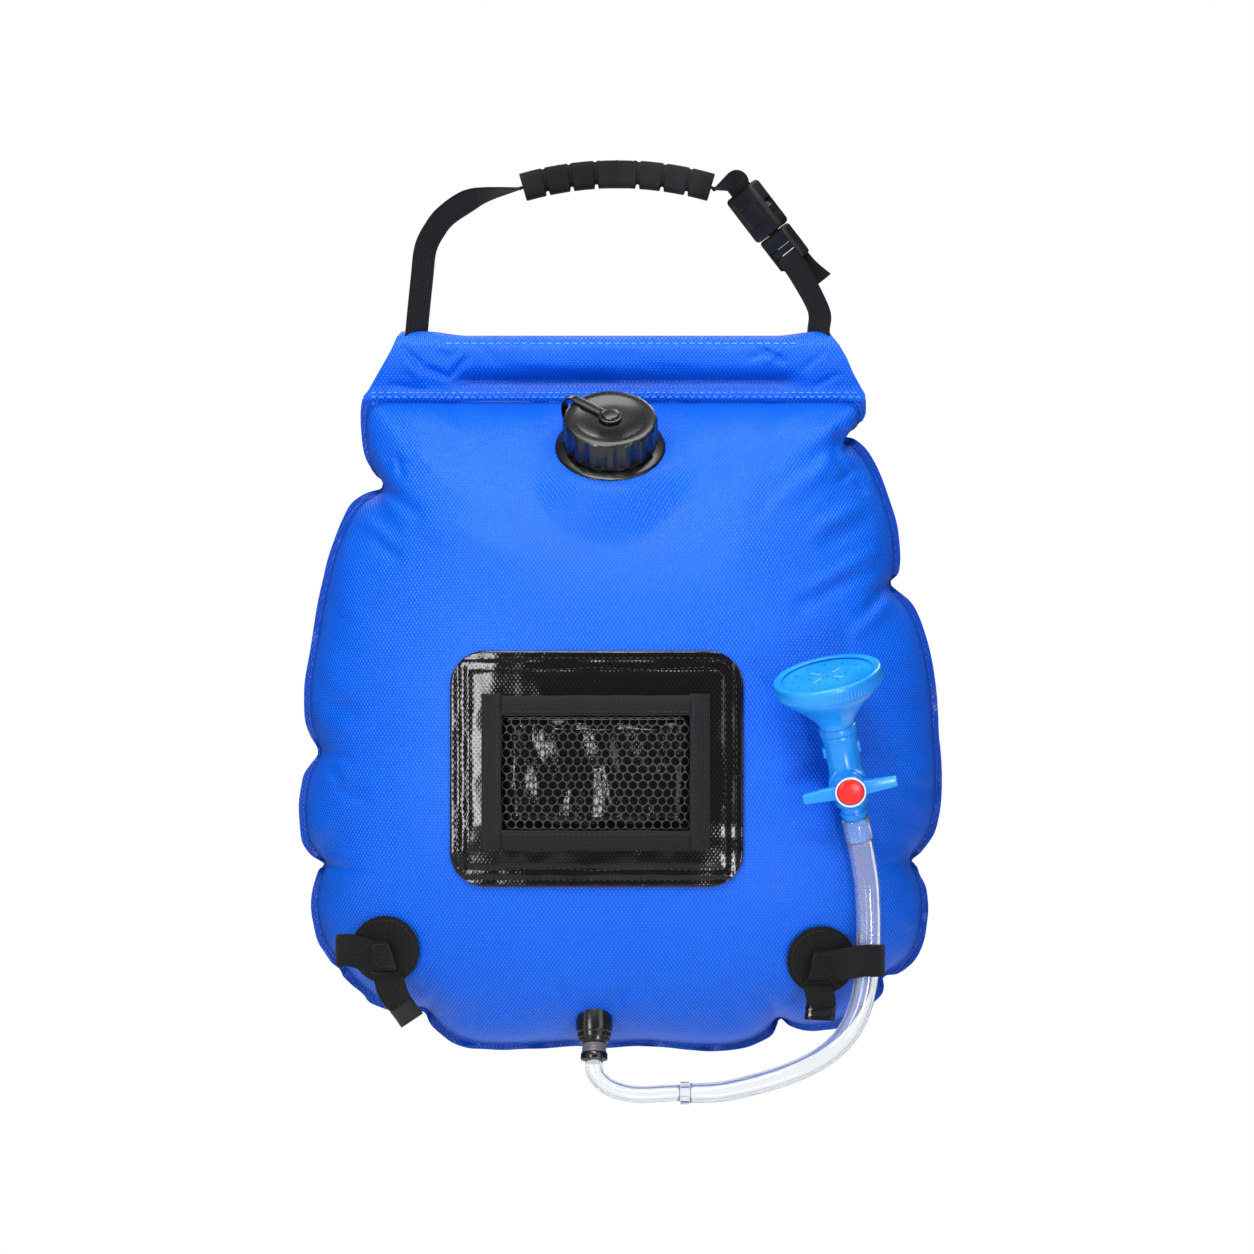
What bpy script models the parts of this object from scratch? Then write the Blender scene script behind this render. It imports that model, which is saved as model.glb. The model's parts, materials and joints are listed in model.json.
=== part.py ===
"""Camp shower bag: a film water bag hung by a webbing handle, with a screw cap, a net
pocket, a bottom outlet, a clear hose and a shower head with a quarter turn valve.
Metres, +Z up. The front of the bag faces -Y. The origin is on the underside of the grip,
where the bag hangs."""

import bpy
import bmesh
from math import cos, pi, radians, sin, sqrt
from mathutils import Matrix, Vector
from mathutils.bvhtree import BVHTree

# Fits and finenesses
CLEARANCE = 0.0003
OVERRUN = 0.004
SEAT_LIFT = 0.0010
ROUND_STEPS = 28
SMALL_STEPS = 16
BOSS_STEPS = 24
AXIS_X, AXIS_Y, AXIS_Z = Vector((1, 0, 0)), Vector((0, 1, 0)), Vector((0, 0, 1))

# Bag of welded film
BAG_WIDTH = 0.386
BAG_HEIGHT = 0.3936
BAG_TOP = 0.1248
FRONT_BULGE = 0.088
BACK_BULGE = 0.080
FILM = 0.0012
WELD_WIDTH = 0.004
BULGE_POWER = 2.6
SAG_SHARE = 0.08
PANEL_CENTRE_SHARE = 0.5
RING_SHARES = (0.08, 0.20, 0.40, 0.68)

# Stiffened sleeve along the top edge
SLEEVE_HEIGHT = 0.0424
SLEEVE_WALL = 0.001
ROLL_RADIUS = 0.010
SLEEVE_TOP_LEFT = 0.1330
SLEEVE_TOP_RIGHT = 0.1280
SLEEVE_FOOT_LEFT = 0.1550
SLEEVE_FOOT_RIGHT = 0.1465
SLEEVE_OVERLAP = 0.0036
SLEEVE_LEG_SHARE = 0.40
ROD_LENGTH = 0.190
ROD_WALL = 0.0018

# Filler and its screw cap
FILLER_X = -0.0064
FILLER_DROP = 0.0318
FILLER_TILT = radians(52)
FLANGE_RADIUS = 0.0330
FLANGE_THICK = 0.0022
FLANGE_SKIRT = 0.0240
SKIRT_WALL = 0.0020
NECK_RADIUS = 0.0235
NECK_WALL = 0.0030
NECK_HEIGHT = 0.0160
CAP_RADIUS = 0.0283
CAP_HEIGHT = 0.0180
CAP_WALL = 0.0022
CAP_FLUTES = 16
FLUTE_DEPTH_SHARE = 0.035
CAP_CHAMFER = 0.0022
GASKET_THICK = 0.0016
STUD_RADIUS = 0.0038
STUD_HEAD_RADIUS = 0.0054
STUD_HEAD = 0.0010
TETHER_THICK = 0.0016
TETHER_WIDTH = 0.0065
TETHER_RING = 0.0070
TETHER_COLLAR_WIDTH = 0.0028
TETHER_TURN = radians(-40)

# Outlet at the foot of the front panel
OUTLET_PLACE_SHARES = (-0.041451, 0.9469)
OUTLET_LEAN = radians(12)
SPOUT_RADIUS = 0.0110
SPOUT_TIP_RADIUS = 0.0090
SPOUT_INSIDE = 0.0160
SPOUT_LENGTH = 0.0145
SPOUT_BORE = 0.0052
NIPPLE_RADIUS = 0.0074
NIPPLE_LENGTH = 0.0100
NIPPLE_PLUG = 0.0085
NIPPLE_BORE = 0.0030
CLAMP_WIDTH = 0.0042
CLAMP_WALL = 0.0012

# Hoses, as hand chosen routes
HOSE_STEP_SHARE = 2
HOSE_LOWER_DIAMETER = 0.0100
HOSE_UPPER_DIAMETER = 0.0130
COUPLER_RADIUS = 0.0068
COUPLER_BORE = 0.0030
HOSE_UPPER_ROUTE = [
    (0.1416, -0.0780, -0.3894), (0.1441, -0.0736, -0.4024), (0.1462, -0.0698, -0.4160),
    (0.1472, -0.0668, -0.4300), (0.1475, -0.0648, -0.4440), (0.1472, -0.0634, -0.4580),
    (0.1462, -0.0622, -0.4720), (0.1438, -0.0610, -0.4850), (0.1396, -0.0600, -0.4970),
    (0.1330, -0.0590, -0.5078), (0.1236, -0.0580, -0.5170), (0.1118, -0.0568, -0.5244),
    (0.0984, -0.0556, -0.5302), (0.0840, -0.0544, -0.5348), (0.0700, -0.0528, -0.5384),
    (0.0580, -0.0514, -0.5406), (0.0480, -0.0510, -0.5412), (0.0412, -0.0510, -0.5412),
]
HOSE_LOWER_ROUTE = [
    (-0.0160, -0.0450, -0.5221), (-0.0160, -0.0459, -0.5262), (-0.0148, -0.0468, -0.5304),
    (-0.0118, -0.0476, -0.5344), (-0.0072, -0.0484, -0.5378), (-0.0014, -0.0491, -0.5402),
    (0.0054, -0.0498, -0.5417), (0.0130, -0.0504, -0.5422), (0.0210, -0.0508, -0.5418),
    (0.0290, -0.0510, -0.5412), (0.0352, -0.0510, -0.5412),
]

# Shower head: valve, rose and their seals
HEAD_LEAN_SHARES = (-0.187, -0.317)
BARB_RADIUS = 0.0060
BARB_RIDGE = 0.0010
BARB_LENGTH = 0.0142
BARB_RIDGES = 3
STEM_RADIUS = 0.0075
STEM_TOP = 0.0230
VALVE_RADIUS = 0.0100
VALVE_LENGTH = 0.0450
VALVE_AXIS_SHARE = 0.32
FLOW_BORE = 0.0036
BOSS_RADIUS = 0.0096
BOSS_REACH = 0.0150
PLUG_RADIUS = 0.0060
PLUG_DEPTH = 0.0070
SEAL_WIDTH = 0.0014
SEAL_DEPTH = 0.0010
LEVER_SPAN = 0.0570
LEVER_HUB_RADIUS = 0.0092
LEVER_HUB_HEIGHT = 0.0076
LEVER_ROOT = 0.0084
LEVER_TIP = 0.0060
LEVER_THICK = 0.0050
BADGE_RADIUS = 0.0080
BADGE_THICK = 0.0016
COLLAR_RADIUS = 0.0112
COLLAR_HEIGHT = 0.0040
FUNNEL_HEIGHT = 0.0245
FUNNEL_MOUTH = 0.0300
FUNNEL_WALL = 0.0018
ROSE_RADIUS = 0.0325
ROSE_BAND = 0.0090
ROSE_WALL = 0.0020
ROSE_LIP = 0.0026
ROSE_KNURLS = 48
KNURL_DEPTH_SHARE = 0.012
PLATE_THICK = 0.0022
HOLE_RADIUS = 0.0009
HOLE_CIRCLE_SHARES = (0.36, 0.70)
HOLE_COUNTS = (6, 12)

# Webbing handle, grip and side release buckle
WEBBING = 0.020
WEBBING_THICK = 0.0015
HANDLE_LEFT = 0.1226
HANDLE_RIGHT = 0.1185
HANDLE_TWIST = radians(42)
HANDLE_DEPTH_IN_SLEEVE = 0.0130
HANDLE_PATH_SHARES = [
    (1.000, 0.36), (0.967, 0.58), (0.920, 0.72), (0.868, 0.81), (0.770, 0.905), (0.672, 0.955),
]
GRIP_LENGTH = 0.1145
GRIP_CHANNEL_GAP = 0.0006
GRIP_SHIFT = -0.0024
GRIP_DEPTH = 0.026
GRIP_HEIGHT = 0.0165
GRIP_ARC_RADIUS = 0.204
GRIP_CORNER = 0.0036
GRIP_GROOVE = 0.0024
GRIP_GROOVE_DEPTH = 0.0024
GRIP_TOP_GROOVE_DEPTH = 0.0012
GRIP_CENTRE_BLOCK = 0.0230
GRIP_BLOCKS_A_SIDE = 3
BUCKLE_X = 0.0720
BUCKLE_Z = -0.0012
BUCKLE_DROP = radians(52.6)
FEMALE_LENGTH = 0.0320
FEMALE_WIDTH = 0.0270
FEMALE_THICK = 0.0100
SOCKET_WIDTH = 0.0220
SOCKET_THICK = 0.0056
SOCKET_DEPTH = 0.0230
WINDOW_LENGTH = 0.0100
WINDOW_INSET = 0.0130
WEBBING_SLOT_DEPTH = 0.0060
MALE_WIDTH = 0.0250
MALE_THICK = 0.0080
MALE_LENGTH = 0.0220
MALE_BLOCK = 0.0095
TONGUE_WIDTH = 0.0056
TONGUE_LENGTH = 0.0200
RAIL_WIDTH = 0.0020
BAR_RADIUS = 0.0018
TAB_WIDTH = 0.0034
TAB_LENGTH = 0.0170
TAB_BARB = 0.0018
TAIL_LENGTH = 0.0220

# Net pocket on its stitched patch
PATCH_WIDTH = 0.1742
PATCH_HEIGHT = 0.1402
PATCH_PLACE_SHARES = (-0.037306, 0.388211)
PATCH_CORNER = 0.0140
PATCH_THICK = 0.0010
FRAME_WIDTH = 0.1356
FRAME_HEIGHT = 0.0920
FRAME_PLACE_SHARES = (-0.03886, 0.455285)
TAPE_WIDTH = 0.0120
TAPE_THICK = 0.0010
LINING_THICK = 0.0005
LINING_MARGIN = 0.0020
POCKET_DEPTH = 0.0075
NET_THICK = 0.0008
NET_COLUMNS = 13
NET_ROWS = 8
NET_STRAND = 0.0013

# Strap patches at the sides
DISC_RADIUS = 0.0205
DISC_THICK = 0.0013
DISC_LIFT = 0.0015
STRAP_THICK = 0.0013
STRAP_WIDTH = 0.0190
DISC_RIGHT_PLACE_SHARES = (0.309326, 0.856707)
DISC_LEFT_PLACE_SHARES = (-0.36399, 0.841463)
LOOP_OVER_HOSE = 0.0096
LOOP_EMPTY = 0.0060
LOOP_REACH_LEFT = 0.0230
LOOP_REACH_RIGHT = 0.0275
LOOP_FORWARD_RIGHT = 0.0057
LOOP_SEAT_LEFT = 0.0015
LOOP_SEAT_RIGHT = 0.0004
TAIL_SEAT_LEFT = 0.0024
TAIL_SEAT_RIGHT = -0.0016
TAIL_DROP_RIGHT = 0.0345
TAIL_DROP_LEFT = 0.0390

# Outline of the bag below the sleeve, as shares of its width and height
OUTLINE_SHARES = [
    (-0.403, 0.000), (-0.404, 0.034), (-0.400, 0.087), (-0.387, 0.113), (-0.370, 0.136), (-0.392, 0.146),
    (-0.421, 0.166), (-0.443, 0.212), (-0.463, 0.279), (-0.477, 0.349), (-0.488, 0.410), (-0.493, 0.463),
    (-0.487, 0.512), (-0.470, 0.541), (-0.487, 0.569), (-0.499, 0.608), (-0.497, 0.672), (-0.483, 0.700),
    (-0.460, 0.715), (-0.477, 0.741), (-0.482, 0.782), (-0.471, 0.832), (-0.449, 0.864), (-0.426, 0.892),
    (-0.392, 0.924), (-0.356, 0.938), (-0.325, 0.939), (-0.305, 0.939), (-0.291, 0.963), (-0.261, 0.986),
    (-0.213, 0.995), (-0.134, 0.992), (-0.067, 0.991), (-0.002, 0.991), (0.064, 0.992), (0.131, 0.998),
    (0.191, 0.994), (0.229, 0.976), (0.247, 0.948), (0.270, 0.963), (0.309, 0.968), (0.353, 0.957),
    (0.390, 0.927), (0.407, 0.887), (0.434, 0.878), (0.460, 0.855), (0.474, 0.814), (0.474, 0.753),
    (0.451, 0.709), (0.477, 0.683), (0.496, 0.634), (0.499, 0.584), (0.493, 0.486), (0.480, 0.387),
    (0.455, 0.322), (0.419, 0.284), (0.434, 0.250), (0.426, 0.181), (0.403, 0.117), (0.375, 0.076),
    (0.344, 0.061), (0.372, 0.041), (0.381, 0.018), (0.379, 0.000), (0.278, 0.000), (0.185, 0.000),
    (0.092, 0.000), (-0.002, 0.000), (-0.095, 0.000), (-0.188, 0.000), (-0.297, 0.000),
]

# Colour, roughness and metallic value of each finish
FINISHES = {
    "blue_film": ((0.008, 0.125, 0.82), 0.35, 0.0),
    "black_moulding": ((0.015, 0.015, 0.017), 0.40, 0.0),
    "black_webbing": ((0.018, 0.018, 0.020), 0.80, 0.0),
    "black_film": ((0.012, 0.012, 0.014), 0.25, 0.0),
    "black_net": ((0.030, 0.030, 0.033), 0.70, 0.0),
    "soft_rubber": ((0.022, 0.022, 0.023), 0.60, 0.0),
    "grey_rubber": ((0.120, 0.120, 0.125), 0.60, 0.0),
    "light_blue_moulding": ((0.020, 0.260, 0.840), 0.38, 0.0),
    "red_moulding": ((0.830, 0.020, 0.015), 0.35, 0.0),
    "clear_hose": ((0.620, 0.640, 0.650), 0.20, 0.0),
    "grey_moulding": ((0.160, 0.160, 0.165), 0.45, 0.0),
}


def clear_scene():
    for old in list(bpy.data.objects):
        bpy.data.objects.remove(old, do_unlink=True)


def material(name, finish):
    colour, roughness, metallic = FINISHES[finish]
    made = bpy.data.materials.new(name)
    made.use_nodes = True
    shader = made.node_tree.nodes["Principled BSDF"]
    shader.inputs["Base Color"].default_value = (*colour, 1)
    shader.inputs["Roughness"].default_value = roughness
    shader.inputs["Metallic"].default_value = metallic
    return made


def add(name, bm, finish=None, frame=None, smooth=False, facing=True):
    """Turns a bmesh into a named object at a frame; a shape with no finish is a cutter."""
    if facing:
        bmesh.ops.recalc_face_normals(bm, faces=bm.faces)
    mesh = bpy.data.meshes.new(name)
    bm.to_mesh(mesh)
    bm.free()
    made = bpy.data.objects.new(name, mesh)
    bpy.context.collection.objects.link(made)
    if frame is not None:
        made.matrix_world = frame
    if finish is None:
        made.hide_render = True
        made.display_type = "WIRE"
    else:
        made.data.materials.append(material(name, finish))
    if smooth:
        mesh.shade_smooth()
        mesh.set_sharp_from_angle(angle=radians(35))
    return made


def combine(target, tool, operation):
    change = target.modifiers.new(operation.lower(), "BOOLEAN")
    change.operation = operation
    change.object = tool
    change.solver = "EXACT"


def frame_at(origin, x_axis, y_axis, z_axis):
    turn = Matrix((x_axis, y_axis, z_axis)).transposed().to_4x4()
    return Matrix.Translation(origin) @ turn


def bridge(bm, first, second, closed=True):
    count = len(first)
    for k in range(count if closed else count - 1):
        after = (k + 1) % count
        bm.faces.new((first[k], first[after], second[after], second[k]))


def turned(profile, steps=ROUND_STEPS):
    """A closed (radius, height) outline spun about Z; points on the axis close it there."""
    bm = bmesh.new()
    points = [bm.verts.new((radius, 0, height)) for radius, height in profile]
    edges = []
    for first, second in zip(points, points[1:] + points[:1]):
        if first.co.x > 0 or second.co.x > 0:
            edges.append(bm.edges.new((first, second)))
    bmesh.ops.spin(bm, geom=points + edges, axis=AXIS_Z, angle=2 * pi, steps=steps, use_merge=True)
    bmesh.ops.remove_doubles(bm, verts=bm.verts, dist=CLEARANCE / 10)
    return bm


def round_bar(radius, low, high, steps=SMALL_STEPS):
    """A solid round bar along Z."""
    return turned([(0, high), (radius, high), (radius, low), (0, low)], steps)


def tube_profile(outer, inner, low, high):
    return [(outer, high), (outer, low), (inner, low), (inner, high)]


def flute(bm, count, depth_share, least_radius, low, high):
    """Presses shallow scallops into the outside between two heights."""
    for v in bm.verts:
        radius = v.co.xy.length
        if radius > least_radius and low <= v.co.z <= high:
            angle = Vector((1, 0)).angle_signed(v.co.xy)
            press = 0.5 - 0.5 * cos(count * angle)
            v.co.xy *= 1 - depth_share * press


def block(length, width, height, centre=(0, 0, 0)):
    bm = bmesh.new()
    size = Matrix.Diagonal((length, width, height, 1))
    bmesh.ops.create_cube(bm, size=1, matrix=Matrix.Translation(centre) @ size)
    return bm


def rounded(made, width, segments=1):
    bevel = made.modifiers.new("edges", "BEVEL")
    bevel.width = width
    bevel.segments = segments
    bevel.limit_method = "ANGLE"
    bevel.angle_limit = radians(40)


def smooth_points(points, parts):
    """Points along a Catmull-Rom curve through the given ones."""
    ends = [points[0] * 2 - points[1]] + points + [points[-1] * 2 - points[-2]]
    out = []
    for a, b, c, d in zip(ends, ends[1:], ends[2:], ends[3:]):
        for step in range(parts):
            t = step / parts
            bend = (b * 3 - a - c * 3 + d) * t**3 + (a * 2 - b * 5 + c * 4 - d) * t**2 + (c - a) * t + b * 2
            out.append(bend / 2)
    return out + [points[-1]]


def even_points(points, spacing):
    """The same line with its points a set distance apart."""
    lengths = [0]
    for a, b in zip(points, points[1:]):
        lengths.append(lengths[-1] + (b - a).length)
    count = max(2, round(lengths[-1] / spacing))
    out, at = [], 0
    for step in range(count + 1):
        goal = lengths[-1] * step / count
        while at < len(points) - 2 and lengths[at + 1] < goal:
            at += 1
        share = (goal - lengths[at]) / (lengths[at + 1] - lengths[at])
        out.append(points[at].lerp(points[at + 1], min(share, 1)))
    return out


def ribbon(path, across, width, thick):
    """A flat strap along a path; across gives the direction of its width at each point."""
    bm = bmesh.new()
    rings = []
    for k, (point, side) in enumerate(zip(path, across)):
        ahead = path[min(k + 1, len(path) - 1)] - path[max(k - 1, 0)]
        side = (side - ahead.normalized() * side.dot(ahead.normalized())).normalized()
        normal = ahead.cross(side).normalized()
        half, up = side * (width / 2), normal * (thick / 2)
        corners = (point - half - up, point + half - up, point + half + up, point - half + up)
        rings.append([bm.verts.new(corner) for corner in corners])
    for first, second in zip(rings, rings[1:]):
        bridge(bm, first, second)
    bm.faces.new(rings[0])
    bm.faces.new(rings[-1])
    return bm


def slab(low_rows, high_rows):
    """A closed sheet between two grids of points of the same size."""
    bm = bmesh.new()
    low = [[bm.verts.new(p) for p in row] for row in low_rows]
    high = [[bm.verts.new(p) for p in row] for row in high_rows]
    for side in (low, high):
        for first, second in zip(side, side[1:]):
            bridge(bm, first, second, closed=False)
    rim = {}
    for name, side in (("low", low), ("high", high)):
        right = [row[-1] for row in side[1:-1]]
        left = [row[0] for row in side[1:-1]]
        rim[name] = side[0] + right + side[-1][::-1] + left[::-1]
    bridge(bm, rim["low"], rim["high"])
    return bm


def hose(name, route, diameter, parts=6):
    """A plain tube along a smooth curve through the route's points."""
    fine = smooth_points([Vector(p) for p in route], parts)
    middle = even_points(fine[parts:-parts], diameter * HOSE_STEP_SHARE)
    points = [fine[0]] + middle + [fine[-1]]
    curve = bpy.data.curves.new(name, "CURVE")
    curve.dimensions = "3D"
    curve.bevel_depth = diameter / 2
    curve.bevel_resolution = 3
    curve.use_fill_caps = True
    spline = curve.splines.new("POLY")
    spline.points.add(len(points) - 1)
    for place, point in zip(spline.points, points):
        place.co = (*point, 1)
    made = bpy.data.objects.new(name, curve)
    bpy.context.collection.objects.link(made)
    curve.materials.append(material(name, "clear_hose"))
    return made


def bag_place(shares):
    """A place on the bag seen from the front, from shares of its width and height."""
    return shares[0] * BAG_WIDTH, -BAG_TOP - shares[1] * BAG_HEIGHT


def outline():
    return [Vector(bag_place(shares)) for shares in OUTLINE_SHARES]


def bulge(share, height_share):
    """Depth of the filled bag as a share of its bulge; share is 0 at the weld, 1 mid panel."""
    dome = sqrt(max(0, 1 - (1 - share) ** BULGE_POWER))
    return dome * (1 + SAG_SHARE * (2 * height_share - 1))


def panel_sheet(bulge_depth, side):
    """One dished film wall as an open sheet: weld rim, then rings up to the crown."""
    bm = bmesh.new()
    centre = Vector((0, -BAG_TOP - PANEL_CENTRE_SHARE * BAG_HEIGHT))
    rim_y = CLEARANCE / 2 + FILM
    rings = []
    weld_share = WELD_WIDTH / (BAG_WIDTH / 2)
    for share in (0, weld_share) + RING_SHARES:
        ring = []
        for point in outline():
            flat = centre + (point - centre) * (1 - share)
            height_share = (-BAG_TOP - flat.y) / BAG_HEIGHT
            rise = 0 if share <= weld_share else bulge((share - weld_share) / (1 - weld_share), height_share)
            ring.append(bm.verts.new((flat.x, side * (rim_y + bulge_depth * rise), flat.y)))
        rings.append(ring)
    for first, second in zip(rings, rings[1:]):
        bridge(bm, first, second)
    crown = bm.verts.new((centre.x, side * (rim_y + bulge_depth * bulge(1, PANEL_CENTRE_SHARE)), centre.y))
    last = rings[-1]
    for first, second in zip(last, last[1:] + last[:1]):
        bm.faces.new((first, second, crown))
    for face in bm.faces:
        face.normal_update()
    if crown.link_faces[0].normal.y * side < 0:
        bmesh.ops.reverse_faces(bm, faces=bm.faces)
    return bm


def film_wall(name, sheet):
    """Gives an open sheet the film's wall on its inner side."""
    wall = add(name, sheet, "blue_film", smooth=True, facing=False)
    shell = wall.modifiers.new("film", "SOLIDIFY")
    shell.thickness = FILM
    shell.offset = -1
    return wall


def surface(tree, x, z):
    """Where the front panel lies at (x, z), and which way it faces."""
    spot, normal, _, _ = tree.ray_cast(Vector((x, -BAG_WIDTH, z)), AXIS_Y)
    return spot, normal


def smooth_normal(tree, x, z, reach):
    total = Vector()
    for dx, dz in ((0, 0), (1, 0), (-1, 0), (0, 1), (0, -1)):
        total += surface(tree, x + dx * reach, z + dz * reach)[1]
    total.normalize()
    return total if total.y < 0 else -total


def laid_point(tree, x, z, lift):
    spot, _ = surface(tree, x, z)
    return spot - AXIS_Y * lift


def filler_axis():
    return Vector((0, -cos(FILLER_TILT), sin(FILLER_TILT)))


def filler_frame(tree):
    spot, _ = surface(tree, FILLER_X, -BAG_TOP - FILLER_DROP)
    axis = filler_axis()
    return frame_at(spot, AXIS_X, axis.cross(AXIS_X), axis)


def outlet_frame(tree):
    spot, _ = surface(tree, *bag_place(OUTLET_PLACE_SHARES))
    axis = Vector((0, -sin(OUTLET_LEAN), -cos(OUTLET_LEAN)))
    return frame_at(spot, AXIS_X, axis.cross(AXIS_X), axis)


def bag_panels():
    """Front and back walls; the front has holes for the filler and the outlet."""
    front_sheet = panel_sheet(FRONT_BULGE, -1)
    tree = BVHTree.FromBMesh(front_sheet)
    front = film_wall("front_panel", front_sheet)
    film_wall("back_panel", panel_sheet(BACK_BULGE, 1))
    reach = FLANGE_RADIUS + OVERRUN
    hole = round_bar(FLANGE_RADIUS + CLEARANCE, -reach, reach, ROUND_STEPS)
    combine(front, add("filler_hole", hole, frame=filler_frame(tree)), "DIFFERENCE")
    reach = SPOUT_INSIDE + OVERRUN
    wide = SPOUT_RADIUS + CLEARANCE
    hole = round_bar(wide, -reach, reach, SMALL_STEPS)
    combine(front, add("outlet_hole", hole, frame=outlet_frame(tree)), "DIFFERENCE")
    return tree


def sleeve_half(outside):
    """Half of the sleeve's section from its foot up to the top, as (depth, height)."""
    wall = 0 if outside else SLEEVE_WALL
    leg = CLEARANCE / 2 + FILM + CLEARANCE + SLEEVE_WALL - wall
    radius = ROLL_RADIUS - wall
    foot = -BAG_TOP - SLEEVE_OVERLAP
    roll = foot + SLEEVE_HEIGHT - ROLL_RADIUS
    points = [(leg, foot), (leg, foot + SLEEVE_LEG_SHARE * SLEEVE_HEIGHT)]
    for angle in (-30, 0, 30, 60):
        points.append((radius * cos(radians(angle)), roll + radius * sin(radians(angle))))
    return points + [(0, roll + radius)]


def sleeve_side(height, side):
    """Where the slanted end of the sleeve is at a height."""
    foot = -BAG_TOP - SLEEVE_OVERLAP
    share = min(max((height - foot) / SLEEVE_HEIGHT, 0), 1)
    if side < 0:
        return -(SLEEVE_FOOT_LEFT + (SLEEVE_TOP_LEFT - SLEEVE_FOOT_LEFT) * share**2)
    return SLEEVE_FOOT_RIGHT + (SLEEVE_TOP_RIGHT - SLEEVE_FOOT_RIGHT) * share**2


def roll_height():
    return -BAG_TOP - SLEEVE_OVERLAP + SLEEVE_HEIGHT - ROLL_RADIUS


def top_sleeve(stations=7):
    """The folded band over the top weld, open at both ends and along its foot."""
    outer, inner = sleeve_half(True), sleeve_half(False)
    section = [(-y, z) for y, z in outer] + outer[-2::-1] + inner + [(-y, z) for y, z in inner[-2::-1]]
    bm = bmesh.new()
    rings = []
    for k in range(stations):
        share = k / (stations - 1)
        ring = []
        for y, z in section:
            left, right = sleeve_side(z, -1), sleeve_side(z, 1)
            ring.append(bm.verts.new((left + (right - left) * share, y, z)))
        rings.append(ring)
    for first, second in zip(rings, rings[1:]):
        bridge(bm, first, second)
    half = len(section) // 2
    for ring in (rings[0], rings[-1]):
        for k in range(half - 1):
            bm.faces.new((ring[k], ring[k + 1], ring[-k - 2], ring[-k - 1]))
    sleeve = add("top_sleeve", bm, "blue_film")
    for name, x in (("slot_left", -HANDLE_LEFT), ("slot_right", HANDLE_RIGHT)):
        wide = WEBBING + 2 * CLEARANCE
        thick = WEBBING_THICK + 2 * CLEARANCE
        tall = ROLL_RADIUS + OVERRUN
        turn = Matrix.Rotation(-HANDLE_TWIST * (1 if x < 0 else -1), 4, "Z")
        frame = Matrix.Translation((x, 0, roll_height())) @ turn
        combine(sleeve, add(name, block(thick, wide, tall, (0, 0, tall / 2)), frame=frame), "DIFFERENCE")
    rod_radius = ROLL_RADIUS - SLEEVE_WALL - 2 * CLEARANCE
    rod = turned(tube_profile(rod_radius, rod_radius - ROD_WALL, -ROD_LENGTH / 2, ROD_LENGTH / 2), SMALL_STEPS)
    along = frame_at(Vector((0, 0, roll_height())), AXIS_Y, AXIS_Z, AXIS_X)
    add("stiffener_rod", rod, "grey_moulding", along, smooth=True)


def filler(tree):
    """Welded flange with its neck, flat gasket, screw cap and the tether that keeps it."""
    frame = filler_frame(tree)
    neck_bore = NECK_RADIUS - NECK_WALL
    skirt = FLANGE_RADIUS - SKIRT_WALL
    neck = [
        (NECK_RADIUS, FLANGE_THICK + NECK_HEIGHT), (NECK_RADIUS, FLANGE_THICK), (FLANGE_RADIUS, FLANGE_THICK),
        (FLANGE_RADIUS, FLANGE_THICK - FLANGE_SKIRT), (skirt, FLANGE_THICK - FLANGE_SKIRT), (skirt, 0),
        (neck_bore, 0), (neck_bore, FLANGE_THICK + NECK_HEIGHT),
    ]
    add("filler_neck", turned(neck), "black_moulding", frame, smooth=True)
    rim = FLANGE_THICK + NECK_HEIGHT
    gasket_low = rim + CLEARANCE
    gasket = tube_profile(NECK_RADIUS - CLEARANCE, neck_bore, gasket_low, gasket_low + GASKET_THICK)
    add("cap_gasket", turned(gasket), "grey_rubber", frame, smooth=True)
    ceiling = gasket_low + GASKET_THICK + CLEARANCE
    top = ceiling + CAP_WALL
    foot = top - CAP_HEIGHT
    inside = NECK_RADIUS + CLEARANCE
    stud_top = top + TETHER_THICK + 2 * CLEARANCE
    cap = [
        (0, stud_top + STUD_HEAD), (STUD_HEAD_RADIUS, stud_top + STUD_HEAD), (STUD_HEAD_RADIUS, stud_top),
        (STUD_RADIUS, stud_top), (STUD_RADIUS, top), (CAP_RADIUS - CAP_CHAMFER, top),
        (CAP_RADIUS, top - CAP_CHAMFER), (CAP_RADIUS, foot), (inside, foot), (inside, ceiling), (0, ceiling),
    ]
    bm = turned(cap, CAP_FLUTES * 3)
    flute(bm, CAP_FLUTES, FLUTE_DEPTH_SHARE, inside + CAP_WALL / 2, foot, top - CAP_CHAMFER / 2)
    add("filler_cap", bm, "black_moulding", frame)
    tether(frame, top, foot)


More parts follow.
